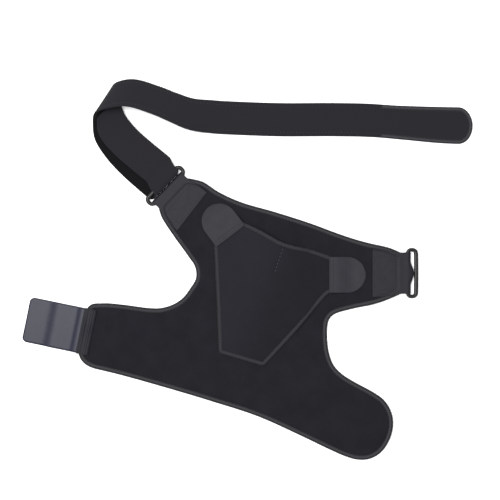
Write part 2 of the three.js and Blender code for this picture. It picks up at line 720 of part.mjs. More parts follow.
// Rows of the strap's middle surface: from the doubled-back end, round the far bar of the left ring,
// back under it, over the soft fold and along the run to the round free end.
function strapRows() {
  const rows = [];
  for (let t = doubledSections; t > 0; t -= strapStep) {
    const { middle, across, inside } = strapFrame(t);
    const lifted = middle.addScaledVector(inside, strapThickness + gap).addScaledVector(
      across, mix(doubledShift, doubledEndShift, ease(t / doubledSections)));
    rows.push(strapRow(lifted, across, strapWidth));
  }
  const across = new THREE.Vector3(leftSeat.outward.y, -leftSeat.outward.x, 0);
  const wrapHeight = barDiameter / 2 + gap + strapThickness / 2;
  const nose = ringReach - (loopRadius + ringTabThickness / 2 + noseGap + strapThickness / 2);
  const wrapRow = (x, z, shift) => {
    const plan = seatToPlan(leftSeat, x, -shift);
    return strapRow(new THREE.Vector3(plan.x, plan.y, z), across, strapWidth);
  };
  rows.push(wrapRow(ringReach + barDiameter, farBarHeight + wrapHeight - wrapDip, wrapShift));
  for (let k = 0; k <= foldSteps; k += 1) {
    const turn = (k / foldSteps) * Math.PI;
    const x = ringReach - nose * Math.sin(turn);
    rows.push(wrapRow(x, farBarHeight + wrapHeight * Math.cos(turn), wrapShift * Math.cos(turn)));
  }
  const last = strapSections.length - 1;
  const endRow = last - strapEndRound / (strapRun * (1 - strapSections[last - 1].along));
  for (let t = 0; t < endRow - strapStep / 2; t += strapStep) {
    const frame = strapFrame(t);
    rows.push(strapRow(frame.middle, frame.across, strapWidthAt(t)));
  }
  const end = strapFrame(endRow);
  const tip = strapFrame(last);
  for (const share of strapEndSteps) {
    const middle = end.middle.clone().lerp(tip.middle, share);
    rows.push(strapRow(middle, tip.across, strapWidthAt(last) * Math.sqrt(1 - share ** 2)));
  }
  return rows;
}

// The strap widens a little over its bound end.
function strapWidthAt(t) {
  const remaining = strapRun * (1 - columnAt(strapSections, 'along', t));
  return mix(strapEndWidth, strapWidth, ease((remaining - strapEndRound) / (strapTapeRun - strapEndRound)));
}

// Edge line of the bound end: along one side, round the tip and back along the other.
function strapEdge(rows) {
  const start = strapOrigin.x + strapRun - strapTapeRun;
  const side = (column) => rows.map((row) => new THREE.Vector2(row[column].x, row[column].y))
    .filter((p) => p.x > start);
  return [...side(0), ...side(clothAcross).reverse()];
}

function chestStrap() {
  const rows = strapRows();
  const flat = () => 0;
  const tapeLine = strapEdge(rows);
  const beyond = (end, before) => end.clone().sub(before).setLength(gap).add(end);
  const roomLine = [beyond(tapeLine[0], tapeLine[1]), ...tapeLine, beyond(tapeLine.at(-1), tapeLine.at(-2))];
  const rebate = sweep(
    onEdge(edgeStations(roomLine, false), flat),
    rebateProfile(strapTapeWidth, strapTapeThickness, strapThickness), false);
  return {
    cloth: sheet(rows, strapThickness).subtract(rebate),
    binding: sweep(
      onEdge(edgeStations(tapeLine, false), flat),
      tapeProfile(strapTapeWidth, strapTapeThickness, strapThickness), false),
  };
}

// Assembly

function piece(name, shape, finish) {
  const mesh = new THREE.Mesh(toGeometry(shape), new THREE.MeshStandardMaterial(materials[finish]));
  mesh.name = name;
  return mesh;
}

// A ring with its webbing patch, in the frame of its seat.
function ringEnd(side, seat, farHeight, bulge) {
  const end = new THREE.Group();
  end.position.set(seat.middle.x, seat.middle.y, 0);
  end.rotation.z = seat.angle;
  const loop = piece(`ring_${side}`, ring(), 'loop');
  loop.position.z = nearBarHeight;
  loop.rotation.y = -Math.asin((farHeight - nearBarHeight) / ringReach);
  end.add(piece(`ring_tab_${side}`, ringTab(side, seat, bulge), 'webbing'), loop);
  return end;
}

const brace = new THREE.Group();
const panel = boundCloth(panelOutline, ground, panelThickness, tapeWidth, tapeThickness);
const flap = boundCloth(flapOutline, onFlap, flapThickness, flapTapeWidth, flapTapeThickness);
const strap = chestStrap();
brace.add(
  piece('main_panel', panel.cloth, 'foam'),
  piece('panel_binding', panel.binding, 'tape'),
  piece('shoulder_flap', flap.cloth, 'flap'),
  piece('flap_binding', flap.binding, 'tape'),
  piece('chest_strap', strap.cloth, 'strap'),
  piece('strap_binding', strap.binding, 'tape'),
  piece('arm_hook_tab', hookPlate(), 'plate'),
);
dTabs.forEach((tab) => brace.add(piece(tab.name, dTab(tab), 'hook')));
brace.add(
  ringEnd('left', leftSeat, farBarHeight, 0),
  ringEnd('right', rightSeat, barDiameter / 2, foldBulge),
);

// The origin is the middle of the underside.
const box = new THREE.Box3().setFromObject(brace, true);
const middle = box.getCenter(new THREE.Vector3());
brace.position.set(-middle.x, -middle.y, -box.min.z);

export default brace;
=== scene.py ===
# Shoulder brace lying open on a table: foam cloth body with bound edges, stitched shoulder flap,
# webbing ends with bar loops, moulded hook plate and a chest strap doubled back through one loop.
import bpy
import math
import numpy as np
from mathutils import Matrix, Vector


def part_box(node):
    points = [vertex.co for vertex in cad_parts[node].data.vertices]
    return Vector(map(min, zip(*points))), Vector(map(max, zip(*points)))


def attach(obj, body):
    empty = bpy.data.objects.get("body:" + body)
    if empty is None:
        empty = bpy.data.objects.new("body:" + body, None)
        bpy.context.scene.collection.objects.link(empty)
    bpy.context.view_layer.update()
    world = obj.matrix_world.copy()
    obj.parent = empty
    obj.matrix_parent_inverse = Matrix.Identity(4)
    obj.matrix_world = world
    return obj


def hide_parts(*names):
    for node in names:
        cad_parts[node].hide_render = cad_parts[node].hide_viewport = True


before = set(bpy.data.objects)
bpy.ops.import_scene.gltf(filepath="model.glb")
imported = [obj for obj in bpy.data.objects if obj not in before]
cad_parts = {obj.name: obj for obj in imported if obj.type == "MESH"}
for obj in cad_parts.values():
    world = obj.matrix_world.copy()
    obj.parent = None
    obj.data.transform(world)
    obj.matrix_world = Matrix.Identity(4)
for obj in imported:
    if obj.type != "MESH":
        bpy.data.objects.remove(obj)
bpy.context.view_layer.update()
mm = 0.001   # shapes are worked out in millimetres, in the frame's own axes, and meshes are in metres
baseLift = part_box("main_panel")[0].z / mm   # the body's underside over the table


# Small steps of arithmetic

def ease(t):
    # smooth step: three t squared less two t cubed, held at 0 and 1
    t = np.clip(t, 0.0, 1.0)
    return t * t * (3.0 - 2.0 * t)


def mix(a, b, t):
    # straight blend from a to b
    return a + (b - a) * t


def unit(vectors):
    # each vector divided by its own length
    return vectors / np.maximum(np.linalg.norm(vectors, axis=-1, keepdims=True), 1e-9)


def heading(degrees):
    # cosine and sine of an angle in the plane of the table
    return np.array([math.cos(math.radians(degrees)), math.sin(math.radians(degrees))])


def runAlong(line):
    # distance along a line from its first point to each of its points
    return np.concatenate([[0.0], np.cumsum(np.linalg.norm(np.diff(line, axis=0), axis=1))])


def evenly(line, step, closed=False):
    # points at equal distances along a line, read off its running length
    if closed:
        line = np.vstack([line, line[:1]])
    run = runAlong(line)
    count = max(2, int(round(run[-1] / step)))
    places = np.linspace(0.0, run[-1], count, endpoint=not closed)
    return np.stack([np.interp(places, run, column) for column in line.T], axis=1)


def gridPairs(down, across):
    # distances down and across a grid, as one pair for each of its points
    return np.stack(np.meshgrid(down, across, indexing="ij"), axis=-1).reshape(-1, 2)


def smoothCurve(knots, steps=24):
    # cubic through the knots; the slope at each comes from its chords, weighed by the roots of their lengths
    p = np.vstack([2 * knots[0] - knots[1], knots, 2 * knots[-1] - knots[-2]])
    root = np.sqrt(np.linalg.norm(np.diff(p, axis=0), axis=1))[:, None]
    before, here, after = root[:-2], root[1:-1], root[2:]
    p0, p1, p2, p3 = p[:-3], p[1:-2], p[2:-1], p[3:]
    slopeIn = ((p1 - p0) / before - (p2 - p0) / (before + here) + (p2 - p1) / here) * here
    slopeOut = ((p2 - p1) / here - (p3 - p1) / (here + after) + (p3 - p2) / after) * here
    t = np.linspace(0.0, 1.0, steps, endpoint=False)[None, :, None]
    a, b, c, d = (part[:, None, :] for part in (p1, p2, slopeIn, slopeOut))
    curve = a * (2 * t**3 - 3 * t**2 + 1) + c * (t**3 - 2 * t**2 + t)
    curve = curve + b * (3 * t**2 - 2 * t**3) + d * (t**3 - t**2)
    return np.vstack([curve.reshape(-1, knots.shape[1]), knots[-1:]])


def toward(start, goal, distance):
    # the point a distance from start on the way to goal
    return start + (goal - start) * distance / np.linalg.norm(goal - start)


def roundedOutline(spans, radii, step):
    # smooth spans joined by quadratic arcs that leave and meet the spans one radius from each corner
    parts = []
    for i, span in enumerate(spans):
        following = spans[(i + 1) % len(spans)]
        leaving = radii[(i + 1) % len(spans)]
        start = toward(span[0], span[1], radii[i])
        end = toward(span[-1], span[-2], leaving)
        arcEnd = toward(following[0], following[1], leaving)
        t = np.linspace(0.0, 1.0, 12)[1:-1, None]
        parts.append(smoothCurve(np.vstack([start, span[1:-1], end])))
        parts.append((1 - t) ** 2 * end + 2 * t * (1 - t) * following[0] + t**2 * arcEnd)
    return evenly(np.vstack(parts), step, closed=True)


def leftOf(line, closed):
    # unit vectors to the left of a plane line, inwards on an anticlockwise outline
    along = np.roll(line, -1, 0) - np.roll(line, 1, 0) if closed else np.gradient(line, axis=0)
    along = unit(along)
    return np.stack([-along[:, 1], along[:, 0]], axis=1)


def edgeDistance(points, outline):
    # distance from points to a closed outline, positive inside: the nearest place on any side of it,
    # with the sign from how often a ray to the right crosses it
    start, end = outline, np.roll(outline, -1, 0)
    side = end - start
    rise = np.where(side[:, 1] == 0, 1e-9, side[:, 1])
    found = []
    for some in np.array_split(points, max(1, len(points) // 3000)):
        off = some[:, None, :] - start
        t = np.clip((off * side).sum(2) / (side**2).sum(1), 0.0, 1.0)
        nearest = np.sqrt(((off - t[..., None] * side) ** 2).sum(2).min(1))
        level = some[:, None, 1]
        spans = (start[:, 1] > level) != (end[:, 1] > level)
        crosses = spans & (some[:, None, 0] < start[:, 0] + off[..., 1] * side[:, 0] / rise)
        found.append(np.where(crosses.sum(1) % 2 == 1, nearest, -nearest))
    return np.concatenate(found)


# Faces and meshes

def gridQuads(rows, columns, ringColumns=False, ringRows=False):
    # corner numbers of the cells of a grid, wrapped round where it closes on itself
    i = np.arange(rows if ringRows else rows - 1)[:, None]
    j = np.arange(columns if ringColumns else columns - 1)[None, :]
    nextRow, nextColumn = (i + 1) % rows, (j + 1) % columns
    corners = [
        i * columns + j, i * columns + nextColumn, nextRow * columns + nextColumn, nextRow * columns + j]
    return np.stack(corners, axis=-1).reshape(-1, 4)


def rimDistance(surface):
    # distance along the grid lines from each point to the nearest border
    def toEnds(axis):
        step = np.linalg.norm(np.diff(surface, axis=axis), axis=2)
        run = np.cumsum(np.insert(step, 0, 0.0, axis=axis), axis=axis)
        return np.minimum(run, np.take(run, [-1], axis=axis) - run)
    return np.minimum(toEnds(0), toEnds(1))


def sheetSkins(surface, thickness, roundness):
    # two skins half a thickness either side of a middle surface, meeting at the rim in a quarter round
    normal = unit(np.cross(np.gradient(surface, axis=0), np.gradient(surface, axis=1)))
    rim = np.clip(rimDistance(surface) / roundness, 0.02, 1.0)
    half = (thickness / 2 * np.sqrt(1.0 - (1.0 - rim) ** 2))[..., None]
    return surface + normal * half, surface - normal * half


def closeSkins(top, bottom):
    # cells of both skins and the band between their borders
    rows, columns = top.shape[:2]
    index = np.arange(rows * columns).reshape(rows, columns)
    rim = np.concatenate([index[:-1, 0], index[-1, :-1], index[:0:-1, -1], index[0, :0:-1]])
    ahead = np.roll(rim, -1)
    quads = gridQuads(rows, columns)
    band = np.stack([rim, ahead, ahead + index.size, rim + index.size], axis=1)
    points = np.vstack([top.reshape(-1, 3), bottom.reshape(-1, 3)])
    return points, np.vstack([quads, quads[:, ::-1] + index.size, band])


def turnedOut(points, quads):
    # the quads, turned over where the signed volume that they enclose is negative
    a, b, c, d = (points[quads[:, k]] for k in range(4))
    volume = (a * np.cross(b, c)).sum() + (a * np.cross(c, d)).sum()
    return quads[:, ::-1] if volume < 0 else quads


def makePiece(name, points, quads, material, body="brace", nodes=(), uv=None, paintedLight=None):
    # one mesh object in metres that rides on a body and stands for its nodes of the frame
    mesh = bpy.data.meshes.new(name)
    mesh.from_pydata((points * mm).tolist(), [], turnedOut(points, quads).tolist())
    mesh.polygons.foreach_set("use_smooth", np.ones(len(mesh.polygons), bool))
    if uv is not None:
        corner = np.empty(len(mesh.loops), np.int32)
        mesh.loops.foreach_get("vertex_index", corner)
        mesh.uv_layers.new(name="cloth").data.foreach_set("uv", (uv[corner] * mm).astype(np.float32).ravel())
    # painted light and shade, stored for each point for the material to read
    if paintedLight is not None:
        mesh.attributes.new("paintedLight", "FLOAT", "POINT").data.foreach_set("value", paintedLight.astype(np.float32))
    mesh.materials.append(material)
    piece = bpy.data.objects.new(name, mesh)
    bpy.context.scene.collection.objects.link(piece)
    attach(piece, body)
    if nodes:
        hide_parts(*nodes)
    return piece


def carryProfile(stations, aside, up, profile, closed):
    # a closed profile of (sideways, upwards) pairs at each station of a path, one profile for all or one each
    profile = np.broadcast_to(profile, (len(stations),) + profile.shape[-2:])
    rows = stations[:, None] + aside[:, None] * profile[..., :1] + up[:, None] * profile[..., 1:]
    points = rows.reshape(-1, 3)
    quads = gridQuads(len(stations), profile.shape[1], ringColumns=True, ringRows=closed)
    if not closed:
        # each end is drawn to its middle, so that the tube is shut
        count = profile.shape[1]
        around = np.arange(count)
        middles = np.stack([rows[0].mean(0), rows[-1].mean(0)])
        first, last = len(points), len(points) + 1
        head = np.stack([around, around, np.full(count, first), (around + 1) % count], 1)[:, [0, 2, 2, 3]]
        tail = np.stack([around, (around + 1) % count, np.full(count, last)], 1)[:, [0, 1, 2, 2]]
        tail[:, :2] += (len(stations) - 1) * count
        points = np.vstack([points, middles])
        quads = np.vstack([quads, head, tail])
    return points, quads


stitchSettings = dict(
    sides=6, rings=5, sunk=0.35, flatness=0.7, end=0.98,
    seams=dict(   # spacing, length and radius of the stitches
        edge=(4.2, 3.0, 0.4), dart=(4.0, 3.0, 0.4), tab=(3.0, 2.2, 0.36), box=(3.4, 2.6, 0.34),
        band=(3.2, 2.4, 0.36), strap=(3.8, 2.8, 0.36)))


def seamOf(kind, line, up=None):
    # one seam: the kind of its stitches, its line, and the way up at each of its points
    return dict(kind=kind, line=line, up=np.tile([0.0, 0.0, 1.0], (len(line), 1)) if up is None else up)


def stitches(kind, line, up):
    # one small bead per stitch: a circle carried along the stitch, its radius the root of one less u squared
    p = stitchSettings
    spacing, length, radius = p["seams"][kind]
    places = evenly(np.hstack([line, up]), spacing)
    centre, lift = places[:, :3], unit(places[:, 3:])
    along = unit(np.gradient(centre, axis=0))
    aside = unit(np.cross(along, lift))
    u = np.linspace(-p["end"], p["end"], p["rings"])[None, :, None, None]
    turn = np.linspace(0.0, 2 * math.pi, p["sides"], endpoint=False)[None, None, :, None]
    swell = radius * np.sqrt(1.0 - u**2)
    c, a, s, n = (v[:, None, None, :] for v in (centre, along, aside, lift))
    beads = c + a * u * length / 2 + s * np.cos(turn) * swell
    beads = beads + n * (np.sin(turn) * swell * p["flatness"] + radius * (0.5 - p["sunk"]))
    bead = p["rings"] * p["sides"]
    lids = np.array([[0, 3, 2, 1], [0, 5, 4, 3]])   # a six-sided end as two quads
    quads = gridQuads(p["rings"], p["sides"], ringColumns=True)
    quads = np.vstack([quads, lids, lids[:, ::-1] + bead - p["sides"]])
    every = quads[None] + (np.arange(len(places)) * bead)[:, None, None]
    return beads.reshape(-1, 3), every.reshape(-1, 4)


def sewPiece(name, seams, thread=None):
    # the stitches of several seams as one mesh
    points, quads, count = [], [], 0
    for seam in seams:
        beads, cells = stitches(**seam)
        points.append(beads)
        quads.append(cells + count)
        count += len(beads)
    return makePiece(name, np.vstack(points), np.vstack(quads), thread or seamThread)


# Materials

def linear(hexCode):
    # sRGB hex to linear red, green, blue
    parts = [int(hexCode[i:i + 2], 16) / 255 for i in (1, 3, 5)]
    return [c / 12.92 if c <= 0.04045 else ((c + 0.055) / 1.055) ** 2.4 for c in parts] + [1.0]


def addNode(tree, kind, settings=None, **links):
    # a node with plain settings, socket values by name, and links given as (node, output name)
    node = tree.nodes.new(kind)
    for key, value in (settings or {}).items():
        if hasattr(node, key):
            setattr(node, key, value)
        else:
            node.inputs[key].default_value = value
    for name, (source, output) in links.items():
        tree.links.new(source.outputs[output], node.inputs[name.replace("_", " ")])
    return node


def newMaterial(name, reads, roughness, specular, sheen=0.0, sheenRoughness=0.5):
    # an empty material with one shader, whose plain values are set on its own sockets, and its output, and
    # where its patterns are read: the object's own metres, the cloth's own width and length, or nowhere
    material = bpy.data.materials.new(name)
    material.use_nodes = True
    tree = material.node_tree
    tree.nodes.clear()
    surface = addNode(tree, "ShaderNodeBsdfPrincipled", {
        "Roughness": roughness, "Specular IOR Level": specular,
        "Sheen Weight": sheen, "Sheen Roughness": sheenRoughness})
    addNode(tree, "ShaderNodeOutputMaterial", None, Surface=(surface, "BSDF"))
    place = (addNode(tree, "ShaderNodeTexCoord"), reads) if reads else None
    return material, tree, surface, place


def perMetre(size):
    # scale of a pattern from the size of one repeat in millimetres
    return 1 / (size * mm)


waveScale = 0.314   # scale at which a wave texture has one wave to a metre


def summed(tree, first, second, share):
    # first height plus a share of the second
    scaled = addNode(tree, "ShaderNodeMath", {"operation": "MULTIPLY"})
    tree.links.new(second[0].outputs[second[1]], scaled.inputs[0])
    scaled.inputs[1].default_value = share
    both = addNode(tree, "ShaderNodeMath", {"operation": "ADD"})
    tree.links.new(first[0].outputs[first[1]], both.inputs[0])
    tree.links.new(scaled.outputs[0], both.inputs[1])
    return both, "Value"


def dress(tree, surface, tone, stops, height, depth):
    # base colour read off a ramp of (place, colour) stops by a tone between 0 and 1, and a relief of a
    # depth in millimetres from a height between 0 and 1
    ramp = addNode(tree, "ShaderNodeValToRGB", None, Fac=tone)
    elements = ramp.color_ramp.elements
    for element, stop in zip((elements[0], elements[1]), (stops[0], stops[-1])):
        element.position, element.color = stop[0], linear(stop[1])
    for position, colour in stops[1:-1]:
        elements.new(position).color = linear(colour)
    tree.links.new(ramp.outputs["Color"], surface.inputs["Base Color"])
    bump = addNode(tree, "ShaderNodeBump", {"Strength": 1.0, "Distance": depth * mm}, Height=height)
    tree.links.new(bump.outputs["Normal"], surface.inputs["Normal"])


def tint(tree, surface, place, dark, light, patch, height, depth):
    # colour that wanders between two near shades in patches of a size in millimetres, with a relief
    noise = addNode(tree, "ShaderNodeTexNoise", {
        "Scale": perMetre(patch), "Detail": 4.0, "Roughness": 0.6}, Vector=place)
    dress(tree, surface, (noise, "Fac"), [(0.25, dark), (0.75, light)], height, depth)


def knitFoamCloth(name, dark, light, wale, patch):
    # foam rubber with a knitted jersey face: matte, a soft fuzz, fine wales across which the stitches show.
    # Real wales are about 0.8 mm; they are drawn twice as coarse, so that they show.
    material, tree, surface, place = newMaterial(name, "Object", 0.92, 0.12, 0.06)
    wales = addNode(tree, "ShaderNodeTexWave", {
        "wave_type": "BANDS", "bands_direction": "X", "Scale": waveScale * perMetre(wale),
        "Distortion": 1.5, "Detail": 2.0, "Detail Scale": 1.5}, Vector=place)
    loops = addNode(tree, "ShaderNodeTexNoise", {"Scale": perMetre(wale), "Detail": 3.0}, Vector=place)
    height = summed(tree, (wales, "Fac"), (loops, "Fac"), 1.2)
    tint(tree, surface, place, dark, light, patch, height, 0.16)
    return material


def paintedShadingFoamCloth(name, dark, light, wale, patch):
    # the same foam cloth, with light and shade painted into its colour from a value for each point: painted
    # light on the left of the dart and painted shade on the right
    material, tree, surface, place = newMaterial(name, "Object", 0.92, 0.12, 0.08)
    # painted light and shade for each point, higher where the colour is painted lighter
    paintedTone = addNode(tree, "ShaderNodeAttribute", {"attribute_name": "paintedLight"})
    noise = addNode(tree, "ShaderNodeTexNoise", {
        "Scale": perMetre(patch), "Detail": 5.0, "Roughness": 0.65}, Vector=place)
    fuzz = addNode(tree, "ShaderNodeTexNoise", {"Scale": perMetre(wale), "Detail": 4.0}, Vector=place)
    tone = summed(tree, (paintedTone, "Fac"), (noise, "Fac"), 0.5)
    dress(tree, surface, tone, [(0.2, dark), (1.0, light)], (fuzz, "Fac"), 0.2)
    return material


def foldedTape(name, dark, light, rib, crown):
    # polyester binding tape, woven with a fine rib across its length and folded over the raw edge: painted
    # shade where it turns down and past its crown, and a painted highlight along its crown
    reach = 10.0   # how far across the tape the crown's places are counted
    material, tree, surface, place = newMaterial(name, "UV", 0.8, 0.25, 0.1, 0.4)
    across = addNode(tree, "ShaderNodeSeparateXYZ", None, Vector=place)
    share = addNode(tree, "ShaderNodeMapRange", {"From Max": reach * mm}, Value=(across, "Y"))
    # painted highlight across the tape: full along the crown, none where it turns down
    paintedHighlight = addNode(tree, "ShaderNodeValToRGB", None, Fac=(share, "Result"))
    paintedHighlight.color_ramp.interpolation = "EASE"
    paintedHighlight.color_ramp.elements[1].color = (0.0, 0.0, 0.0, 1.0)
    for stop, level in zip(crown, (0.0, 1.0, 1.0, 0.0)):
        paintedHighlight.color_ramp.elements.new(stop / reach).color = (level, level, level, 1.0)
    noise = addNode(tree, "ShaderNodeTexNoise", {"Scale": perMetre(9.0), "Detail": 4.0}, Vector=place)
    ribs = addNode(tree, "ShaderNodeTexWave", {
        "wave_type": "BANDS", "bands_direction": "X", "Scale": waveScale * perMetre(rib),
        "Distortion": 0.6}, Vector=place)
    threads = addNode(tree, "ShaderNodeTexNoise", {"Scale": perMetre(0.9), "Detail": 2.0}, Vector=place)
    # painted highlight plus a random mottle
    highlightAndMottle = summed(tree, (paintedHighlight, "Color"), (noise, "Fac"), 0.5)
    height = summed(tree, (ribs, "Fac"), (threads, "Fac"), 0.8)
    dress(tree, surface, highlightAndMottle, [(0.15, dark), (0.9, light)], height, 0.12)
    return material


def hookCloth(name, dark, light, pitch):
    # short moulded hooks on woven tape: a fine grid of dots that catch the light, grey beside the cloth.
    # Real hooks stand about 1.2 mm apart, and are drawn a little coarser.
    material, tree, surface, place = newMaterial(name, "UV", 0.7, 0.3, 0.04, 0.3)
    hooks = addNode(tree, "ShaderNodeTexVoronoi", {
        "Scale": perMetre(pitch), "Randomness": 0.25}, Vector=place)
    tint(tree, surface, place, dark, light, 14.0, (hooks, "Distance"), -0.25)
    return material


def coatedWebbing(name, dark, light, rib):
    # nylon webbing with a rubbery coat: smoother and greyer than the cloth, faint ribs across
    material, tree, surface, place = newMaterial(name, "UV", 0.62, 0.2)
    ribs = addNode(tree, "ShaderNodeTexWave", {
        "wave_type": "BANDS", "bands_direction": "Y", "Scale": waveScale * perMetre(rib),
        "Distortion": 0.8}, Vector=place)
    grain = addNode(tree, "ShaderNodeTexNoise", {"Scale": perMetre(1.1), "Detail": 3.0}, Vector=place)
    height = summed(tree, (ribs, "Fac"), (grain, "Fac"), 1.5)
    tint(tree, surface, place, dark, light, 11.0, height, 0.07)
    return material


def paintedBar(name, dark, light):
    # steel wire loop with black baked paint: a low gloss with a faint orange peel
    material, tree, surface, place = newMaterial(name, "Object", 0.45, 0.3)
    peel = addNode(tree, "ShaderNodeTexNoise", {"Scale": perMetre(0.8), "Detail": 2.0}, Vector=place)
    tint(tree, surface, place, dark, light, 3.0, (peel, "Fac"), 0.03)
    return material


def mouldedPlate(name, dark, light):
    # moulded nylon hook plate seen on its smooth side: satin, with fine flow lines along its length
    material, tree, surface, place = newMaterial(name, "UV", 0.37, 0.15)
    flow = addNode(tree, "ShaderNodeTexWave", {
        "wave_type": "BANDS", "bands_direction": "Y", "Scale": waveScale * perMetre(1.5),
        "Distortion": 2.0}, Vector=place)
    grain = addNode(tree, "ShaderNodeTexNoise", {"Scale": perMetre(1.2), "Detail": 3.0}, Vector=place)
    tint(tree, surface, place, dark, light, 12.0, summed(tree, (flow, "Fac"), (grain, "Fac"), 1.0), 0.02)
    return material


def loopedElastic(name, shadedReverse, dark, light, loop):
    # elastic strap with a brushed loop face, a low pile of small loops in wandering rows, and a plain reverse
    # whose colour is painted darker, as painted shade on the lower leaf under the doubled end. Real loops are
    # under a millimetre, and are drawn about twice as coarse.
    material, tree, surface, place = newMaterial(name, "UV", 0.95, 0.1, 0.04)
    # which face each point is on: the reverse takes the painted shade colour
    side = addNode(tree, "ShaderNodeAttribute", {"attribute_name": "paintedLight"})
    noise = addNode(tree, "ShaderNodeTexNoise", {"Scale": perMetre(16.0), "Detail": 4.0}, Vector=place)
    loops = addNode(tree, "ShaderNodeTexVoronoi", {"Scale": perMetre(loop), "Randomness": 1.0}, Vector=place)
    fuzz = addNode(tree, "ShaderNodeTexNoise", {"Scale": perMetre(1.3 * loop), "Detail": 4.0}, Vector=place)
    tone = summed(tree, (side, "Fac"), (noise, "Fac"), 0.4)
    pile = summed(tree, (loops, "Distance"), (fuzz, "Fac"), 1.0)
    dress(tree, surface, tone, [(0.25, shadedReverse), (0.8, dark), (1.0, light)], pile, 0.22)
    return material


def sewingThread(name, colour):
    # bonded polyester thread: a slight shine on each stitch, and the same colour all over it
    material, _, surface, _ = newMaterial(name, None, 0.5, 0.4)
    surface.inputs["Base Color"].default_value = linear(colour)
    return material


foamJersey = knitFoamCloth("foamJersey", "#121116", "#18171c", 1.6, 22.0)
# flap cloth: its light colour is painted light, its dark colour painted shade
paintedShadingJersey = paintedShadingFoamCloth("paintedShadingJersey", "#131216", "#1b1a20", 1.5, 12.0)
# binding tapes: their light colours are the painted highlight along the crown, their dark colours the painted
# shade where they turn
bindingTape = foldedTape("bindingTape", "#151518", "#2c2c31", 1.4, (1.0, 1.7, 2.9, 3.8))
flapTape = foldedTape("flapTape", "#131216", "#212126", 1.4, (0.4, 1.1, 3.6, 4.5))
hookTape = hookCloth("hookTape", "#17161d", "#1e1d24", 1.7)
patchWebbing = coatedWebbing("patchWebbing", "#111118", "#16161d", 1.8)
blackPaint = paintedBar("blackPaint", "#0d0d0e", "#121213")
satinPlate = mouldedPlate("satinPlate", "#1c1d2a", "#21222f")
# strap: its first colour is the reverse, painted darker as shade on the lower leaf
strapElastic = loopedElastic("strapElastic", "#0b0b0d", "#161519", "#1d1c20", 1.7)
seamThread = sewingThread("seamThread", "#0e0e10")
patchThread = sewingThread("patchThread", "#0c0c0f")
dartThread = sewingThread("dartThread", "#2a2a2f")
print("materials made")


# Body panel

panelSettings = dict(
    length=390.0, depth=338.4, thickness=4.0, ringEndRadius=7.0, armUpperRadius=10.0, armLowerRadius=27.0,
    pitch=1.6,          # fineness of its surface
    tapeWidth=5.6, tape=0.6, stitchIn=4.7,
    press=0.5, pressSpread=1.3,    # foam pressed down under the stitches of the tape
    wave=0.28)
panelCorners = [panelSettings[k] for k in (
    "ringEndRadius", "ringEndRadius", "ringEndRadius", "ringEndRadius", "armUpperRadius", "armLowerRadius")]
panelSpans = dict(   # anticlockwise outline, as shares of length and depth
    rightEnd=[(1.006, 0.590), (1.006, 0.731)],
    upperEdge=[
        (1.006, 0.731), (0.962, 0.751), (0.894, 0.769), (0.823, 0.794), (0.719, 0.838), (0.613, 0.877),
        (0.506, 0.913), (0.438, 0.949), (0.391, 0.984), (0.338, 1.000)],
    leftEnd=[(0.338, 1.000), (0.252, 0.897)],
    armhole=[
        (0.252, 0.897), (0.266, 0.855), (0.304, 0.788), (0.347, 0.719), (0.367, 0.683), (0.370, 0.643),
        (0.352, 0.606), (0.329, 0.572), (0.298, 0.549), (0.262, 0.537), (0.226, 0.537), (0.152, 0.548),
        (0.098, 0.554), (0.038, 0.553)],
    armEnd=[(0.038, 0.553), (-0.005, 0.340)],
    lowerEdge=[
        (-0.005, 0.340), (0.062, 0.321), (0.134, 0.301), (0.277, 0.255), (0.419, 0.206), (0.560, 0.153),
        (0.695, 0.083), (0.782, 0.035), (0.830, 0.011), (0.865, 0.000), (0.902, 0.002), (0.935, 0.022),
        (0.958, 0.055), (0.972, 0.094), (0.976, 0.137), (0.967, 0.178), (0.946, 0.213), (0.916, 0.238),
        (0.851, 0.279), (0.820, 0.302), (0.794, 0.333), (0.780, 0.372), (0.774, 0.415), (0.773, 0.458),
        (0.778, 0.494), (0.794, 0.514), (0.847, 0.533), (0.919, 0.551), (0.962, 0.568), (1.006, 0.590)])
panelSize = np.array([panelSettings["length"], panelSettings["depth"]])


def placed(table, corner, size):
    # rows of shares turned into places on a piece
    return {name: corner + np.array(rows) * size for name, rows in table.items()}


# The outline's own lowest corner is set on that of the frame's bound edge.
panelFine = 2.4
trial = roundedOutline(list(placed(panelSpans, np.zeros(2), panelSize).values()), panelCorners, panelFine)
panelCorner = np.array(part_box("panel_binding")[0][:2]) / mm - trial.min(0)
panelLines = placed(panelSpans, panelCorner, panelSize)
panelOutline = trial + panelCorner

ringSettings = dict(
    bar=4.4, reach=10.2, slot=51.6, corner=4.4, bow=0.3, flat=0.2, play=0.4,
    sides=20, cornerPoints=9, fine=0.8,
    setbacks=dict(left=5.0, right=5.5))   # from the panel's end to the near bar
ringTabSettings = dict(
    thickness=1.0, lengths=dict(left=39.5, right=42.3), root=58.0, mouth=48.6, under=20.0, foldGap=0.5,
    skews=dict(left=-3.2, right=0.0), bulges=dict(left=0.0, right=4.1), bulgeShare=0.6, flare=1.0, climb=13.0,
    laidRows=46, foldRows=22, underRows=12, columns=60,
    band=0.55, groove=0.6, grooveIn=7.2,   # the body's tape shows through, with a groove beside it
    boxStart=0.15, boxEnd=0.57, boxInset=14, boxPoints=40, seamRise=0.02)
clearance = 0.3
barLoop = ringSettings["bar"] / 2 + ringSettings["play"] + ringTabSettings["thickness"] / 2
nearBar = barLoop + ringTabSettings["thickness"] / 2   # height of a ring's near bar


def ringSeat(line, setback):
    # middle of the near bar, the way out of the panel, and the way along the bar
    along = unit(line[1] - line[0])
    outward = np.array([along[1], -along[0]])
    return dict(middle=line.mean(0) + outward * setback, outward=outward,
                aside=np.array([-outward[1], outward[0]]))


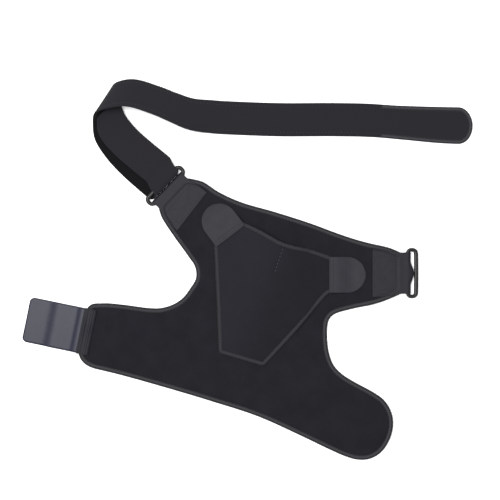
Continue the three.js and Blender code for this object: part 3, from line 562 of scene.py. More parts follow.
seats = dict(
    left=ringSeat(panelLines["leftEnd"], ringSettings["setbacks"]["left"]),
    right=ringSeat(panelLines["rightEnd"], ringSettings["setbacks"]["right"]))


def onSeat(seat, x, y, z):
    # places in a seat's own axes turned into the frame
    plan = seat["middle"] + x[..., None] * seat["outward"] + y[..., None] * seat["aside"]
    return np.concatenate([plan, np.broadcast_to(z, x.shape)[..., None]], axis=-1)


liftSettings = dict(flat=21.0, slope=30.0, beside=0.75, besideSlope=0.6, swells=[
    dict(along=0.150, up=0.430, spread=0.110, height=0.70),
    dict(along=0.905, up=0.120, spread=0.090, height=0.55)])


def panelLift(x, y):
    # underside over the table: eased ramps up to the webbing's returning leaf at both ring ends,
    # and low swells, each one less the squared distance over its spread, squared
    s, tab = liftSettings, ringTabSettings
    lift = np.full(np.shape(x), baseLift)
    for seat in seats.values():
        offX, offY = x - seat["middle"][0], y - seat["middle"][1]
        inward = -(offX * seat["outward"][0] + offY * seat["outward"][1])
        aside = np.abs(offX * seat["aside"][0] + offY * seat["aside"][1])
        slope = 1 - ease((inward - tab["under"] - s["flat"]) / s["slope"])
        share = (aside / tab["root"] - s["beside"]) / s["besideSlope"]
        lift = lift + (tab["thickness"] + clearance) * slope * (1 - ease(share))
    for swell in s["swells"]:
        middle = panelCorner + panelSize * (swell["along"], swell["up"])
        reach = np.hypot(x - middle[0], y - middle[1]) / (swell["spread"] * panelSize[0])
        lift = lift + swell["height"] * panelSettings["thickness"] * np.clip(1 - reach**2, 0, None) ** 2
    return lift


def softWave(x, y, depth):
    # slow unevenness of cloth that lies loose: a few crossed sines of 60 to 130 mm, faded by one another
    wave = np.sin(x / 19.0 + y / 47.0) * np.cos(y / 23.0 - x / 61.0) + 0.6 * np.sin(x / 11.0 - y / 13.0 + 1.0)
    return depth * wave / 1.6


def pressed(distance, settings):
    # half thickness of the foam, pinched along the stitch line in a bell curve
    off = (distance - settings["stitchIn"]) / settings["pressSpread"]
    return settings["thickness"] / 2 * (1 - settings["press"] * np.exp(-off**2 / 2))


edgeIn = 0.6   # how far inside the tape's inner face the cloth's own edge is hidden


def clothSlab(name, outline, lift, settings, shape, material, nodes, paintedLightOf=None):
    # upper and lower faces on one square grid kept inside the outline, with walls hidden in the tape
    low, high = outline.min(0), outline.max(0)
    x = np.arange(low[0], high[0], settings["pitch"])
    y = np.arange(low[1], high[1], settings["pitch"])
    gridX, gridY = np.meshgrid(x, y, indexing="ij")
    points = np.stack([gridX.ravel(), gridY.ravel()], axis=1)
    distance = edgeDistance(points, outline)
    keep = (distance > settings["tape"] + edgeIn).reshape(gridX.shape)
    cells = keep[:-1, :-1] & keep[1:, :-1] & keep[:-1, 1:] & keep[1:, 1:]
    index = np.arange(keep.size).reshape(keep.shape)
    corners = [index[:-1, :-1], index[1:, :-1], index[1:, 1:], index[:-1, 1:]]
    used, quads = np.unique(np.stack([c[cells] for c in corners], axis=1), return_inverse=True)
    quads = quads.reshape(-1, 4)
    start, end = quads.ravel(), np.roll(quads, -1, axis=1).ravel()
    border = ~np.isin(start * len(used) + end, end * len(used) + start)
    start, end = start[border], end[border]
    walls = np.stack([end, start, start + len(used), end + len(used)], axis=1)
    plan, distance = points[used], distance[used]
    middle = lift(plan[:, 0], plan[:, 1]) + settings["thickness"] / 2
    half = pressed(distance, settings)
    top = middle + half + shape(plan[:, 0], plan[:, 1], distance)
    both = np.vstack([np.column_stack([plan, top]), np.column_stack([plan, middle - half])])
    faces = np.vstack([quads, quads[:, ::-1] + len(used), walls])
    # painted light and shade for each point, the same on both faces
    paintedLight = None if paintedLightOf is None else np.tile(paintedLightOf(plan[:, 0], plan[:, 1]), 2)
    return makePiece(name, both, faces, material, nodes=nodes, paintedLight=paintedLight)


tapeSettings = dict(   # the crown's place and spread are shares of the tape's width
    points=11, crownAt=0.56, crownSpread=0.18, taper=0.5, cutEdge=0.2, core=0.3, squeeze=0.6)


def tapeSection(settings, crown=0.45):
    # folded tape as (inwards, upwards) pairs about the cloth's middle: a half round at the edge, two legs
    # that rise to a crown and fall with the pressed foam, and the same line a tape's thickness further in
    t = tapeSettings
    roll, width, tape = settings["thickness"] / 2, settings["tapeWidth"], settings["tape"]
    turn = np.linspace(0.5 * math.pi, 1.5 * math.pi, t["points"])
    legs = np.linspace(width, roll, t["points"])
    bell = crown * np.exp(-((legs - t["crownAt"] * width) / (t["crownSpread"] * width)) ** 2)
    thinning = np.clip((width - legs) / t["taper"], t["cutEdge"], 1)
    outer = np.minimum(pressed(legs, settings) + tape * thinning, roll)
    inner = np.maximum(outer - tape, t["core"])
    edge = np.column_stack([roll + roll * np.cos(turn), roll * np.sin(turn)])[1:-1]
    innerEdge = (edge * (1, t["squeeze"]) + (tape, 0))[::-1]
    upper = np.column_stack([legs, outer + bell])
    lower = np.column_stack([legs, -outer])[::-1]
    hollow = np.column_stack([legs, inner])
    return np.vstack([upper, edge, lower, hollow * (1, -1), innerEdge, hollow[::-1]])


def carryTape(name, line, level, settings, crown, closed, material, nodes):
    # folded tape carried along a plane line at one height a station, with its own length and width as uv
    inward = leftOf(line, closed)
    section = tapeSection(settings, crown)
    points, quads = carryProfile(
        np.column_stack([line, level]), np.column_stack([inward, np.zeros(len(line))]),
        np.tile([0.0, 0.0, 1.0], (len(line), 1)), section, closed)
    uv = gridPairs(runAlong(line), runAlong(section))
    if not closed:
        uv = np.vstack([uv, uv[:1], uv[-1:]])
    return makePiece(name, points, quads, material, nodes=nodes, uv=uv), inward, section


def boundEdge(name, outline, lift, settings, material, nodes):
    # the tape round a whole outline, at the middle of the cloth's thickness, and its seam
    level = lift(outline[:, 0], outline[:, 1]) + settings["thickness"] / 2
    piece, inward, section = carryTape(name, outline, level, settings, 0.45, True, material, nodes)
    upperLeg = section[tapeSettings["points"] - 1::-1]
    top = np.interp(settings["stitchIn"], upperLeg[:, 0], upperLeg[:, 1])
    line = np.column_stack([outline + inward * settings["stitchIn"], level + top])
    return piece, seamOf("edge", np.vstack([line, line[:1]]))


def panelShape(x, y, distance):
    # the loose unevenness fades out at the tape
    return softWave(x, y, panelSettings["wave"]) * ease((distance - 8) / 25)


bodyPanel = clothSlab(
    "bodyPanel", panelOutline, panelLift, panelSettings, panelShape, foamJersey, ["main_panel"])
bodyBinding, panelSeam = boundEdge(
    "bodyBinding", panelOutline, panelLift, panelSettings, bindingTape, ["panel_binding"])
bodyStitches = sewPiece("bodyStitches", [panelSeam])
print("body panel made")


# Shoulder flap

flapSettings = dict(
    widthShare=0.3754, heightShare=0.5142, thickness=3.0, place=(0.4215, 0.3316),
    rise=8.0, riseHalfWidth=44.0, riseHalfLength=100.0, riseTurn=16.0, risePlace=(0.530, 0.760),
    pitch=1.3, tapeWidth=4.8, tape=0.5, stitchIn=4.1, press=0.5, pressSpread=1.2, wave=0.2, sharp=4.0,
    dartStart=(0.578, 0.824), dartEnd=(0.512, 0.658), dartDepth=0.9, dartWidth=1.5, dartSunk=0.45,
    # line and spread of the flap's painted light and shade
    paintedLightLine=248.0, paintedLightSpread=60.0)
flapSpans = dict(    # anticlockwise outline, as shares of width and height
    underRightTab=[(1.004, 0.514), (1.000, 0.745)],
    mouth=[
        (1.000, 0.742), (0.950, 0.759), (0.900, 0.775), (0.820, 0.797), (0.710, 0.818), (0.616, 0.838),
        (0.546, 0.860), (0.456, 0.903), (0.366, 0.944), (0.280, 0.978), (0.225, 1.000)],
    underLeftTab=[(0.225, 1.000), (0.010, 0.866)],
    leftEdge=[(0.010, 0.866), (0.014, 0.800), (0.034, 0.450), (0.050, 0.092)],
    sewnEdge=[(0.050, 0.092), (0.418, 0.000)],
    rightEdge=[(0.418, 0.000), (0.680, 0.240), (0.950, 0.500), (1.004, 0.514)])
flapSize = panelSize * (flapSettings["widthShare"], flapSettings["heightShare"])
flapCorner = panelCorner + panelSize * flapSettings["place"]
flapLines = placed(flapSpans, flapCorner, flapSize)
flapOutline = roundedOutline(list(flapLines.values()), [flapSettings["sharp"]] * 6, 1.6)


def flapLift(x, y):
    # underside of the flap: just over the panel, and up in one long oval rise under its mouth
    p = flapSettings
    middle = flapCorner + flapSize * p["risePlace"]
    along = heading(90 + p["riseTurn"])
    offX, offY = x - middle[0], y - middle[1]
    reach = ((offX * along[0] + offY * along[1]) / p["riseHalfLength"]) ** 2
    reach = reach + ((offX * along[1] - offY * along[0]) / p["riseHalfWidth"]) ** 2
    near = np.clip(1 - reach, 0, None)
    return panelLift(x, y) + panelSettings["thickness"] + clearance + p["rise"] * near**2 * (3 - 2 * near)


dartStart, dartEnd = (flapCorner + flapSize * flapSettings[k] for k in ("dartStart", "dartEnd"))


def flapShape(x, y, distance):
    # a narrow valley along the dart, a bell across it that fades past its ends, and a slight unevenness
    p = flapSettings
    way = unit(dartEnd - dartStart)
    offX, offY = x - dartStart[0], y - dartStart[1]
    along = (offX * way[0] + offY * way[1]) / np.linalg.norm(dartEnd - dartStart)
    aside = (offX * way[1] - offY * way[0]) / p["dartWidth"]
    dart = np.exp(-aside**2 / 2) * ease((along + 0.15) / 0.2) * ease((1.12 - along) / 0.2)
    return softWave(x + 40, y, p["wave"]) * ease((distance - 6) / 20) - p["dartDepth"] * dart


def flapPaintedLight(x, y):
    # painted light to the left of a line through the dart and downwards, painted shade to its right, by an
    # eased step
    way = heading(flapSettings["paintedLightLine"])
    aside = (y - dartStart[1]) * way[0] - (x - dartStart[0]) * way[1]
    return 0.1 + 0.55 * ease(0.5 - aside / flapSettings["paintedLightSpread"])


shoulderFlap = clothSlab("shoulderFlap", flapOutline, flapLift, flapSettings, flapShape, paintedShadingJersey,
                         ["shoulder_flap"], flapPaintedLight)
flapBinding, flapSeam = boundEdge(
    "flapBinding", flapOutline, flapLift, flapSettings, flapTape, ["flap_binding"])
dartPlan = np.linspace(dartStart, dartEnd, 30)
dartTop = flapLift(dartPlan[:, 0], dartPlan[:, 1]) + flapSettings["thickness"] - flapSettings["dartSunk"]
flapStitches = sewPiece("flapStitches", [flapSeam])
dartStitches = sewPiece(
    "dartStitches", [seamOf("dart", np.column_stack([dartPlan, dartTop]))], dartThread)
print("flap made")


# Small sheets: D-shaped tabs, ring patches, hook plate

def sheetUv(surface):
    # width and length of a surface measured along its middle grid lines, for both of its skins
    rows, columns = surface.shape[:2]
    uv = gridPairs(runAlong(surface[:, columns // 2]), runAlong(surface[rows // 2]))
    return np.vstack([uv, uv])


def clothSheet(name, surface, thickness, roundness, material, nodes, faces=None):
    # a closed sheet either side of a middle surface; faces are the painted light values of its two sides,
    # where a low value gives a side painted shade
    points, quads = closeSkins(*sheetSkins(surface, thickness, roundness))
    paintedLight = None if faces is None else np.repeat(faces, len(points) // 2)
    return makePiece(name, points, quads, material, nodes=nodes, uv=sheetUv(surface), paintedLight=paintedLight)


def crowded(count):
    # places from 0 to 1 that crowd at both ends, half a cosine turn
    return 0.5 - 0.5 * np.cos(np.linspace(0, math.pi, count))


dTabSettings = dict(
    length=44.0, width=43.0, thickness=1.4, lap=7.5, drop=24.0, straight=0.5,
    rows=56, columns=44, roundness=0.8,
    seams=(2.0, 5.6), seamDepth=0.2, seamWidth=0.9, seamEnd=2)
dTabs = dict(
    left=dict(place=(0.148, 0.893), points=127.0, node="flap_tab_left"),
    right=dict(place=(0.951, 0.628), points=0.0, node="flap_tab_right"))


def dTabHeight(x, y, s):
    # over the flap's corner, then eased down to the panel
    p = dTabSettings
    over = flapLift(x, y) + flapSettings["thickness"] + clearance
    beside = panelLift(x, y) + panelSettings["thickness"] + clearance
    return mix(over, beside, ease((s - p["lap"]) / p["drop"])) + p["thickness"] / 2


def dTabSurface(tab):
    # straight sides, then a half ellipse: half width is the root of one less the squared share of the round
    p = dTabSettings
    s = crowded(p["rows"])[:, None]
    v = (2 * crowded(p["columns"]) - 1)[None, :]
    rounded = np.clip((s * 0.999 - p["straight"]) / (1 - p["straight"]), 0, 1)
    half = p["width"] / 2 * np.sqrt(1 - rounded**2)
    forward = heading(tab["points"])
    root = flapCorner + flapSize * tab["place"]
    s = s * p["length"]
    x = root[0] + s * forward[0] - v * half * forward[1]
    y = root[1] + s * forward[1] + v * half * forward[0]
    z = dTabHeight(x, y, s)
    for seam in p["seams"]:
        z = z - p["seamDepth"] * np.exp(-((s - seam) / p["seamWidth"]) ** 2)
    return np.stack([x, y, z], axis=-1)


def seamRow(surface, place, thickness, skipped):
    # the surface's row at a distance from its first one, less its ends, on the upper face
    middle = surface[:, surface.shape[1] // 2]
    row = surface[np.argmin(np.abs(np.linalg.norm(middle - middle[0], axis=1) - place))]
    return row[skipped:-skipped] + (0, 0, thickness / 2)


tabSeams = []
for side, tab in dTabs.items():
    surface = dTabSurface(tab)
    flapTab = clothSheet("flapTab" + side.title(), surface, dTabSettings["thickness"],
                         dTabSettings["roundness"], hookTape, [tab["node"]])
    tabSeams += [
        seamOf("tab", seamRow(surface, seam, dTabSettings["thickness"], dTabSettings["seamEnd"]))
        for seam in dTabSettings["seams"]]
sewPiece("flapTabStitches", tabSeams, patchThread)
print("flap tabs made")


def ringTabSurface(side, seat):
    # one strip: laid on the panel, round the near bar in a half turn, and back under the panel
    t = ringTabSettings
    mouth = t["mouth"] / 2
    foldTop = baseLift + nearBar + barLoop
    laid = crowded(t["laidRows"])
    turn = np.linspace(0, math.pi, t["foldRows"])
    back = np.linspace(0, 1, t["underRows"])[1:]
    v = (2 * crowded(t["columns"]) - 1)[None, :]
    half = mix(t["root"] / 2, mouth, ease(laid))[:, None]
    x = mix(-t["lengths"][side], -t["foldGap"], laid)[:, None] + t["skews"][side] * v * (1 - laid[:, None])
    y = v * half
    plan = onSeat(seat, x, y, 0.0)
    edge = edgeDistance(plan[..., :2].reshape(-1, 2), panelOutline).reshape(x.shape)
    top = panelLift(plan[..., 0], plan[..., 1]) + panelSettings["thickness"] + clearance + t["thickness"] / 2
    raised = ease((panelSettings["tapeWidth"] + 1.2 - edge) / 1.6)
    raised = raised - t["groove"] * np.exp(-((edge - t["grooveIn"]) / 1.0) ** 2)
    z = top + t["band"] * raised * (1 - ease((laid[:, None] - 0.8) / 0.2))
    z = mix(z, foldTop, ease(1 + x / t["climb"]))
    pointed = ease(1 - np.abs(v) / t["bulgeShare"])
    foldX = barLoop * np.sin(turn)[:, None] + t["bulges"][side] * np.sin(turn)[:, None] * pointed
    foldY = np.broadcast_to(v * (mouth + t["flare"]), foldX.shape)
    foldZ = np.broadcast_to((baseLift + nearBar + barLoop * np.cos(turn))[:, None], foldX.shape)
    straight = ringSettings["setbacks"][side] - t["foldGap"]
    underX = np.broadcast_to(mix(-straight, -t["under"], back)[:, None], (len(back), v.size))
    underY = np.broadcast_to(v * mouth, underX.shape)
    underZ = np.full(underX.shape, baseLift + t["thickness"] / 2)
    x = np.vstack([x, foldX, underX])
    y = np.vstack([y, foldY, underY])
    return onSeat(seat, x, y, np.vstack([z, foldZ, underZ]))


def boxSeams(surface):
    # sewn box with its two diagonals, as lines between rows and columns of the strip's own grid
    t = ringTabSettings
    rows = [int(t[k] * (t["laidRows"] - 1)) for k in ("boxStart", "boxEnd")]
    columns = [t["boxInset"], t["columns"] - 1 - t["boxInset"]]
    corners = np.array([(rows[i], columns[j]) for i, j in ((0, 0), (1, 0), (1, 1), (0, 1))])
    share = np.linspace(0, 1, t["boxPoints"])[:, None]
    seams = []
    for a, b in ((0, 1), (1, 2), (2, 3), (3, 0), (0, 2), (1, 3)):
        row, column = np.rint(mix(corners[a], corners[b], share)).astype(int).T
        seams.append(seamOf("box", surface[row, column] + (0, 0, t["thickness"] / 2 + t["seamRise"])))
    return seams


def ringLoop(name, side, seat, farBar, body):
    # round bar carried round a rectangle with rounded corners, tilted about its near side; the far side
    # bows out in a parabola and is a little flattened
    p = ringSettings
    r, reach, half = p["corner"], p["reach"], (p["slot"] + p["bar"]) / 2
    t = np.linspace(0, 0.5 * math.pi, p["cornerPoints"])
    corners = [(reach - r, r - half, -90), (reach - r, half - r, 0), (r, half - r, 90), (r, r - half, 180)]
    line = np.vstack([
        np.column_stack([x + r * np.cos(t + math.radians(a)), y + r * np.sin(t + math.radians(a))])
        for x, y, a in corners])
    line = evenly(line, p["fine"], closed=True)
    line[:, 0] += p["bow"] * np.clip(line[:, 0] / reach, 0, 1) * (1 - (line[:, 1] / half) ** 2)
    aside = leftOf(line, True)
    tilt = math.asin((farBar - nearBar) / reach)
    turn = np.linspace(0, 2 * math.pi, p["sides"], endpoint=False)
    wide = 1 + p["flat"] * np.clip(line[:, :1] / reach, 0, 1) ** 4
    out = p["bar"] / 2 * np.cos(turn)[None, :]
    x = line[:, :1] + aside[:, :1] * out * wide
    y = line[:, 1:] + aside[:, 1:] * out * wide
    z = np.broadcast_to(p["bar"] / 2 * np.sin(turn)[None, :], x.shape)
    height = baseLift + nearBar + x * math.sin(tilt) + z * math.cos(tilt)
    points = onSeat(seat, x * math.cos(tilt) - z * math.sin(tilt), y, height).reshape(-1, 3)
    quads = gridQuads(len(line), p["sides"], ringColumns=True, ringRows=True)
    makePiece(name, points, quads, blackPaint, body=body, nodes=["ring_" + side])


strapSettings = dict(
    width=40.0, thickness=2.4, root=7.6, run=370.0, offset=78.7, foldHeight=24.0,
    endWidth=44.0, endRound=20.0,
    tapeRun=110.0, tapeWidth=4.8, tape=0.45, tapeFine=1.6, tapeCrown=0.3,
    stitchIn=3.6, press=0.3, pressSpread=2.0,
    doubledSections=4.2, doubledShift=14.0, doubledEndShift=6.0, doubledStand=1.2,
    wrapShift=4.8, wrapDip=0.5, wrapRows=25, noseGap=0.15,
    step=0.05, columns=41, tipRows=26, roundness=1.1,
    seamIn=4.6, seamDepth=0.4, seamWidth=0.9, seamFirst=110, seamLast=-20, levelRow=-60)
farBars = dict(   # heights of the rings' far bars: on the strap, and on the table
    left=strapSettings["thickness"] + clearance + ringSettings["bar"] / 2, right=ringSettings["bar"] / 2)
ringBodies = dict(left="brace", right="free_ring")
patchSeams = []
for side, seat in seats.items():
    strip = ringTabSurface(side, seat)
    ringPatch = clothSheet("ringPatch" + side.title(), strip, ringTabSettings["thickness"], 0.5, patchWebbing,
                           ["ring_tab_" + side])
    patchSeams += boxSeams(strip)
    ringLoop("ring" + side.title(), side, seat, farBars[side], ringBodies[side])
sewPiece("ringPatchStitches", patchSeams, patchThread)
print("ring ends made")

plateSettings = dict(
    length=80.0, width=54.4, thickness=1.2, lap=12.0, corner=6.0, shift=4.0, slant=1.5,
    rows=120, tipRows=30, tipShare=0.1, columns=50, roundness=0.6,
    wave=[   # share of the length, then of the body's thickness
        (0.00, 1.02), (0.17, 1.02), (0.30, 0.62), (0.42, 0.63), (0.54, 0.66), (0.72, 0.19), (0.86, 0.17),
        (1.00, 0.16)],
    rim=1.7, rimDrop=0.6)
rootBandSettings = dict(
    start=-1.6, end=13.5, over=0.4, thickness=0.9, rows=50, gap=0.05, dip=1.0,
    ridges=(3.4, 9.8), ridgeRise=1.2, ridgeWidth=1.5, ridgeTop=-0.1, seamPast=2.0, seamEnd=3)


def plateSeat():
    # middle of the plate's root, the way along the plate and the way across it, turned by its slant
    p = plateSettings
    start, end = panelLines["armEnd"]
    down = unit(end - start)
    outward = np.array([down[1], -down[0]])
    root = (start + end) / 2 - outward * p["lap"] - down * p["shift"]
    c, n = heading(p["slant"])
    return root, *(np.array([c * way[0] - n * way[1], n * way[0] + c * way[1]]) for way in (outward, down))


def onPlate(s, across):
    # a place on the plate's seat, seen from above, from distances along it and across it
    root, outward, down = plateSeat()
    return root[0] + s * outward[0] + across * down[0], root[1] + s * outward[1] + across * down[1]


def plateSurface():
    # straight sides with quarter-round outer corners; its height is a smooth curve through the wave's
    # knots, less an eased drop at the rim
    p = plateSettings
    tip = np.sin(np.linspace(0.05, 0.5 * math.pi, p["tipRows"]))
    body = np.linspace(0, 1 - p["tipShare"], p["rows"] - p["tipRows"])
    s = np.sort(np.concatenate([body, 1 - p["tipShare"] + p["tipShare"] * tip]))[:, None] * p["length"]
    v = (2 * crowded(p["columns"]) - 1)[None, :]
    past = np.clip(s - (p["length"] - p["corner"]), 0, p["corner"] * 0.999)
    half = p["width"] / 2 - p["corner"] + np.sqrt(p["corner"] ** 2 - past**2)
    knots = smoothCurve(np.array(p["wave"]))
    height = np.interp(s / p["length"], knots[:, 0], knots[:, 1]) * (panelSettings["thickness"] + clearance)
    rim = np.minimum((1 - np.abs(v)) * half, np.minimum(p["length"] - s, s + p["rim"]))
    raised = np.maximum(height - p["rimDrop"] * ease(1 - rim / p["rim"]), 0)
    return np.stack([*onPlate(s, v * half), baseLift + raised + p["thickness"] / 2], axis=-1)


def rootBand():
    # a strip of cloth over the plate's root, as wide as the plate: level, dipped at its inner end, with two
    # sewn ridges as bell curves, highest near the middle
    b = rootBandSettings
    s = np.linspace(b["start"], b["end"], b["rows"])[:, None]
    v = (2 * crowded(plateSettings["columns"]) - 1)[None, :]
    root = plateSeat()[0]
    under = panelLift(root[0], root[1]) + panelSettings["thickness"] + clearance + plateSettings["thickness"]
    z = under + b["gap"] + b["thickness"] / 2 - b["dip"] * ease((0.6 - s) / 2.2)
    for ridge in b["ridges"]:
        swell = 0.5 + 0.5 * np.exp(-((v - b["ridgeTop"]) / 0.4) ** 2)
        z = z + b["ridgeRise"] * swell * np.exp(-((s - ridge) / b["ridgeWidth"]) ** 2)
    return np.stack([*onPlate(s, v * (plateSettings["width"] / 2 + b["over"])), z], axis=-1)


clothSheet("armHookPlate", plateSurface(), plateSettings["thickness"], plateSettings["roundness"], satinPlate,
           ["arm_hook_tab"])
band = rootBand()
plateRootBand = clothSheet(
    "plateRootBand", band, rootBandSettings["thickness"], 0.5, patchWebbing, [])
bandSeams = [
    seamOf("band", seamRow(band, ridge + rootBandSettings["seamPast"] - rootBandSettings["start"],
                           rootBandSettings["thickness"], rootBandSettings["seamEnd"]))
    for ridge in rootBandSettings["ridges"]]
plateStitches = sewPiece("plateStitches", bandSeams)
print("hook plate made")


# Chest strap

# along, away, height, across, bank: shares of the run, the offset and the fold's height, then degrees
strapSections = np.array([
    (-0.042, 0.089, 0.00, 47, 0), (-0.099, 0.329, 0.00, 45, 0), (-0.147, 0.574, 0.00, 44, 0),
    (-0.183, 0.841, 0.03, 43, -1), (-0.193, 1.095, 0.14, 48, -8), (-0.190, 1.285, 0.41, 59, -17),
    (-0.148, 1.360, 0.70, 71, -26), (-0.097, 1.370, 0.72, 74, -28), (-0.024, 1.267, 0.56, 73, -28),
    (0.029, 1.168, 0.43, 74, -25), (0.088, 1.068, 0.25, 80, -15), (0.155, 1.032, 0.05, 86, -2),
    (0.226, 1.012, 0.00, 89, 0), (0.375, 0.988, 0.00, 90, 0), (0.537, 0.989, 0.00, 90, 0),
    (0.661, 0.979, 0.00, 91, 0), (0.765, 0.944, 0.00, 92, 0), (0.896, 0.906, 0.00, 91, 0),
    (1.000, 0.895, 0.00, 90, 0)])
strapOrigin = seats["left"]["middle"] + seats["left"]["outward"] * strapSettings["root"]


def strapColumns(t):
    # every column of the table at places counted in rows: a cubic whose slopes are half the chord round
    # each row
    rows = np.vstack([strapSections[:1], strapSections, strapSections[-1:]])
    i = np.minimum(len(strapSections) - 2, np.floor(t).astype(int))
    u = (t - i)[:, None]
    before, here, after, beyond = rows[i], rows[i + 1], rows[i + 2], rows[np.minimum(i + 3, len(rows) - 1)]
    slopeIn, slopeOut, rise = (after - before) / 2, (beyond - here) / 2, after - here
    bend = slopeIn + slopeOut - 2 * rise
    return here + u * (slopeIn + u * (3 * rise - 2 * slopeIn - slopeOut + u * bend))


def strapMiddle(t):
    # middle line of the strap over the table
    s = strapSettings
    c = strapColumns(t)
    height = np.maximum(0, c[:, 2]) * s["foldHeight"] + s["thickness"] / 2 + baseLift
    return np.column_stack([
        strapOrigin[0] + c[:, 0] * s["run"], strapOrigin[1] + c[:, 1] * s["offset"], height])


def strapFrame(t):
    # middle, direction across, and direction towards the inside of the loop
    last = len(strapSections) - 1
    middle = strapMiddle(t)
    forward = strapMiddle(np.minimum(last, t + 0.02)) - strapMiddle(np.maximum(0, t - 0.02))
    c = strapColumns(t)
    turn, bank = np.radians(c[:, 3]), np.radians(c[:, 4])
    across = np.column_stack([np.cos(turn) * np.cos(bank), np.sin(turn) * np.cos(bank), np.sin(bank)])
    return middle, across, unit(np.cross(across, forward))


def strapWidth(t):
    # a little wider over the bound end
    s = strapSettings
    remaining = s["run"] * (1 - strapColumns(t)[:, 0])
    return mix(s["endWidth"], s["width"], ease((remaining - s["endRound"]) / (s["tapeRun"] - s["endRound"])))


def strapSurface():
    # from the doubled-back end, in a half turn round the loop's far bar, back under it, over the soft
    # fold and along the run to an end whose half width is the root of one less the squared share
    s = strapSettings
    seat, bar, reach = seats["left"], ringSettings["bar"], ringSettings["reach"]
    last = len(strapSections) - 1
    back = np.arange(s["doubledSections"], 0.01, -s["step"])
    middle, across, inside = strapFrame(back)
    doubled = back / s["doubledSections"]
    shift = mix(s["doubledShift"], s["doubledEndShift"], ease(doubled))[:, None]
    stand = s["doubledStand"] * np.sin(math.pi * np.clip(doubled, 0, 1))[:, None]
    middles = [middle + inside * (s["thickness"] + clearance + stand) + across * shift]
    directions, widths = [across], [np.full(len(back), s["width"])]
    farBar = baseLift + farBars["left"]
    wrap = bar / 2 + clearance + s["thickness"] / 2
    nose = reach - (barLoop + ringTabSettings["thickness"] / 2 + s["noseGap"] + s["thickness"] / 2)
    turn = np.linspace(0, math.pi, s["wrapRows"])
    x = np.concatenate([[reach + bar], reach - nose * np.sin(turn)])
    z = np.concatenate([[farBar + wrap - s["wrapDip"]], farBar + wrap * np.cos(turn)])
    y = -s["wrapShift"] * np.concatenate([[1.0], np.cos(turn)])
    middles.append(onSeat(seat, x, y, z))
    directions.append(np.tile(np.append(-seat["aside"], 0.0), (len(x), 1)))
    widths.append(np.full(len(x), s["width"]))
    endRow = last - s["endRound"] / (s["run"] * (1 - strapSections[-2, 0]))
    forth = np.arange(0, endRow - s["step"] / 2, s["step"])
    middle, across, inside = strapFrame(forth)
    middles.append(middle)
    directions.append(across)
    widths.append(strapWidth(forth))
    tipMiddle, tipAcross, inside = strapFrame(np.array([endRow, last - 1e-6]))
    share = np.sin(np.linspace(0, 0.497 * math.pi, s["tipRows"]))[:, None]
    middles.append(mix(tipMiddle[:1], tipMiddle[1:], share))
    directions.append(np.tile(tipAcross[1], (len(share), 1)))
    widths.append(strapWidth(np.array([last - 1e-6]))[0] * np.sqrt(1 - share[:, 0] ** 2))
    middles, directions, widths = np.vstack(middles), np.vstack(directions), np.concatenate(widths)
    v = (2 * crowded(s["columns"]) - 1)[None, :, None] / 2
    return middles[:, None] + directions[:, None] * widths[:, None, None] * v


def strapRelief(surface):
    # thickness with a shallow channel along each sewn edge, a bell curve across the channel
    s = strapSettings
    side = np.linalg.norm(np.diff(surface, axis=1), axis=2)
    run = np.concatenate([np.zeros((len(surface), 1)), np.cumsum(side, axis=1)], axis=1)
    edge = np.minimum(run, run[:, -1:] - run)
    return s["thickness"] - s["seamDepth"] * np.exp(-((edge - s["seamIn"]) / s["seamWidth"]) ** 2)


strap = strapSurface()
strapNormals = unit(np.cross(np.gradient(strap, axis=0), np.gradient(strap, axis=1)))
# which way the grid's normals point on the long run, up or down
faceUp = np.sign(strapNormals[strapSettings["levelRow"], strapSettings["columns"] // 2, 2])
# the skin that faces up on the long run keeps its own tone; the other, which faces up on the lower leaf, is
# painted shade
chestStrap = clothSheet(
    "chestStrap", strap, strapRelief(strap), strapSettings["roundness"], strapElastic,
    ["chest_strap"], faces=(1.0, 0.0) if faceUp > 0 else (0.0, 1.0))


def strapSeams():
    # the two sewn lines on the strap's upper face, between the doubled end and the tip
    s = strapSettings
    rows = slice(s["seamFirst"], s["seamLast"])
    near = int(np.argmin(np.abs(crowded(s["columns"]) * s["width"] - s["seamIn"])))
    seams = []
    for column in (near, s["columns"] - 1 - near):
        lift = faceUp * strapNormals[rows, column]
        line = strap[rows, column] + lift * (s["thickness"] - s["seamDepth"]) / 2
        seams.append(seamOf("strap", line, lift))
    return seams


def strapBinding():
    # folded tape along the border of the bound end, along one side, round the tip and back, with its seam
    s = strapSettings
    start = strapOrigin[0] + s["run"] - s["tapeRun"]
    sides = [strap[:, k, :2][strap[:, k, 0] > start] for k in (0, -1)]
    line = evenly(np.vstack([sides[0], sides[1][::-1]]), s["tapeFine"])
    level = np.full(len(line), baseLift + s["thickness"] / 2)
    piece, inward, section = carryTape(
        "strapBinding", line, level, s, s["tapeCrown"], False, bindingTape, ["strap_binding"])
    seam = np.column_stack([line + inward * s["stitchIn"], level + s["thickness"] / 2])
    return piece, seamOf("strap", seam)


strapTape, tapeSeam = strapBinding()
strapStitches = sewPiece("strapStitches", strapSeams() + [tapeSeam])
print("chest strap made")


# Table, light and camera

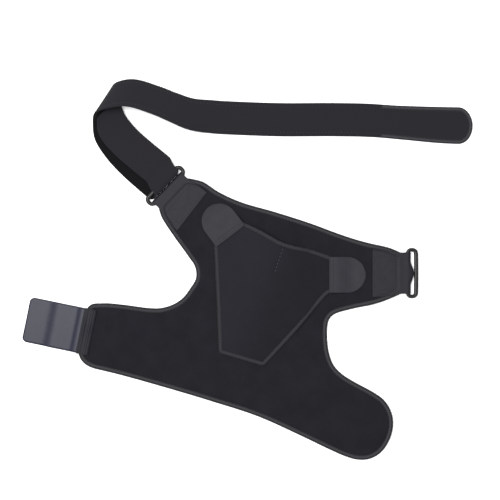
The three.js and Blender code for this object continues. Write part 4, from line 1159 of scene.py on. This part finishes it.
studioSettings = dict(
    cameraHeight=1.8, cameraPlace=(0.0031, 0.0236), viewWidth=0.6, sensor=36.0,
    floorSize=8.0, floorColour="#f6f6f7", worldStrength=0.62,
    keyPlace=(-0.42, 0.2, 2.0), keySize=1.3, keyPower=62.0)


def paleTable():
    # a plain square far larger than the view, of matt painted board in one colour
    half = studioSettings["floorSize"] / 2
    mesh = bpy.data.meshes.new("table")
    corners = [(-half, -half, 0), (half, -half, 0), (half, half, 0), (-half, half, 0)]
    mesh.from_pydata(corners, [], [(0, 1, 2, 3)])
    material, _, surface, _ = newMaterial("paintedBoard", None, 0.9, 0.1)
    surface.inputs["Base Color"].default_value = linear(studioSettings["floorColour"])
    mesh.materials.append(material)
    table = bpy.data.objects.new("table", mesh)
    bpy.context.scene.collection.objects.link(table)


def studioLight():
    # an even pale surround and one large soft lamp from beyond the upper left, turned to the brace
    s = studioSettings
    world = bpy.data.worlds.new("studio")
    world.use_nodes = True
    background = world.node_tree.nodes["Background"]
    background.inputs["Color"].default_value = (1.0, 1.0, 1.0, 1.0)
    background.inputs["Strength"].default_value = s["worldStrength"]
    bpy.context.scene.world = world
    lamp = bpy.data.lights.new("softLamp", "AREA")
    lamp.shape = "DISK"
    lamp.size = s["keySize"]
    lamp.energy = s["keyPower"]
    key = bpy.data.objects.new("softLamp", lamp)
    key.location = s["keyPlace"]
    way = -np.array(s["keyPlace"])
    tip = math.acos(-way[2] / np.linalg.norm(way))
    key.rotation_euler = (tip, 0.0, math.atan2(way[0], -way[1]) + math.pi)
    bpy.context.scene.collection.objects.link(key)


def photoCamera():
    # straight above the brace, the lens long enough for the view's width at that height
    camera = bpy.data.cameras.new("photoCamera")
    camera.sensor_width = studioSettings["sensor"]
    camera.lens = studioSettings["sensor"] * studioSettings["cameraHeight"] / studioSettings["viewWidth"]
    holder = bpy.data.objects.new("photoCamera", camera)
    holder.location = (*studioSettings["cameraPlace"], studioSettings["cameraHeight"])
    bpy.context.scene.collection.objects.link(holder)
    bpy.context.scene.camera = holder


paleTable()
studioLight()
photoCamera()
bpy.context.scene.view_settings.view_transform = "Standard"
print("studio made")
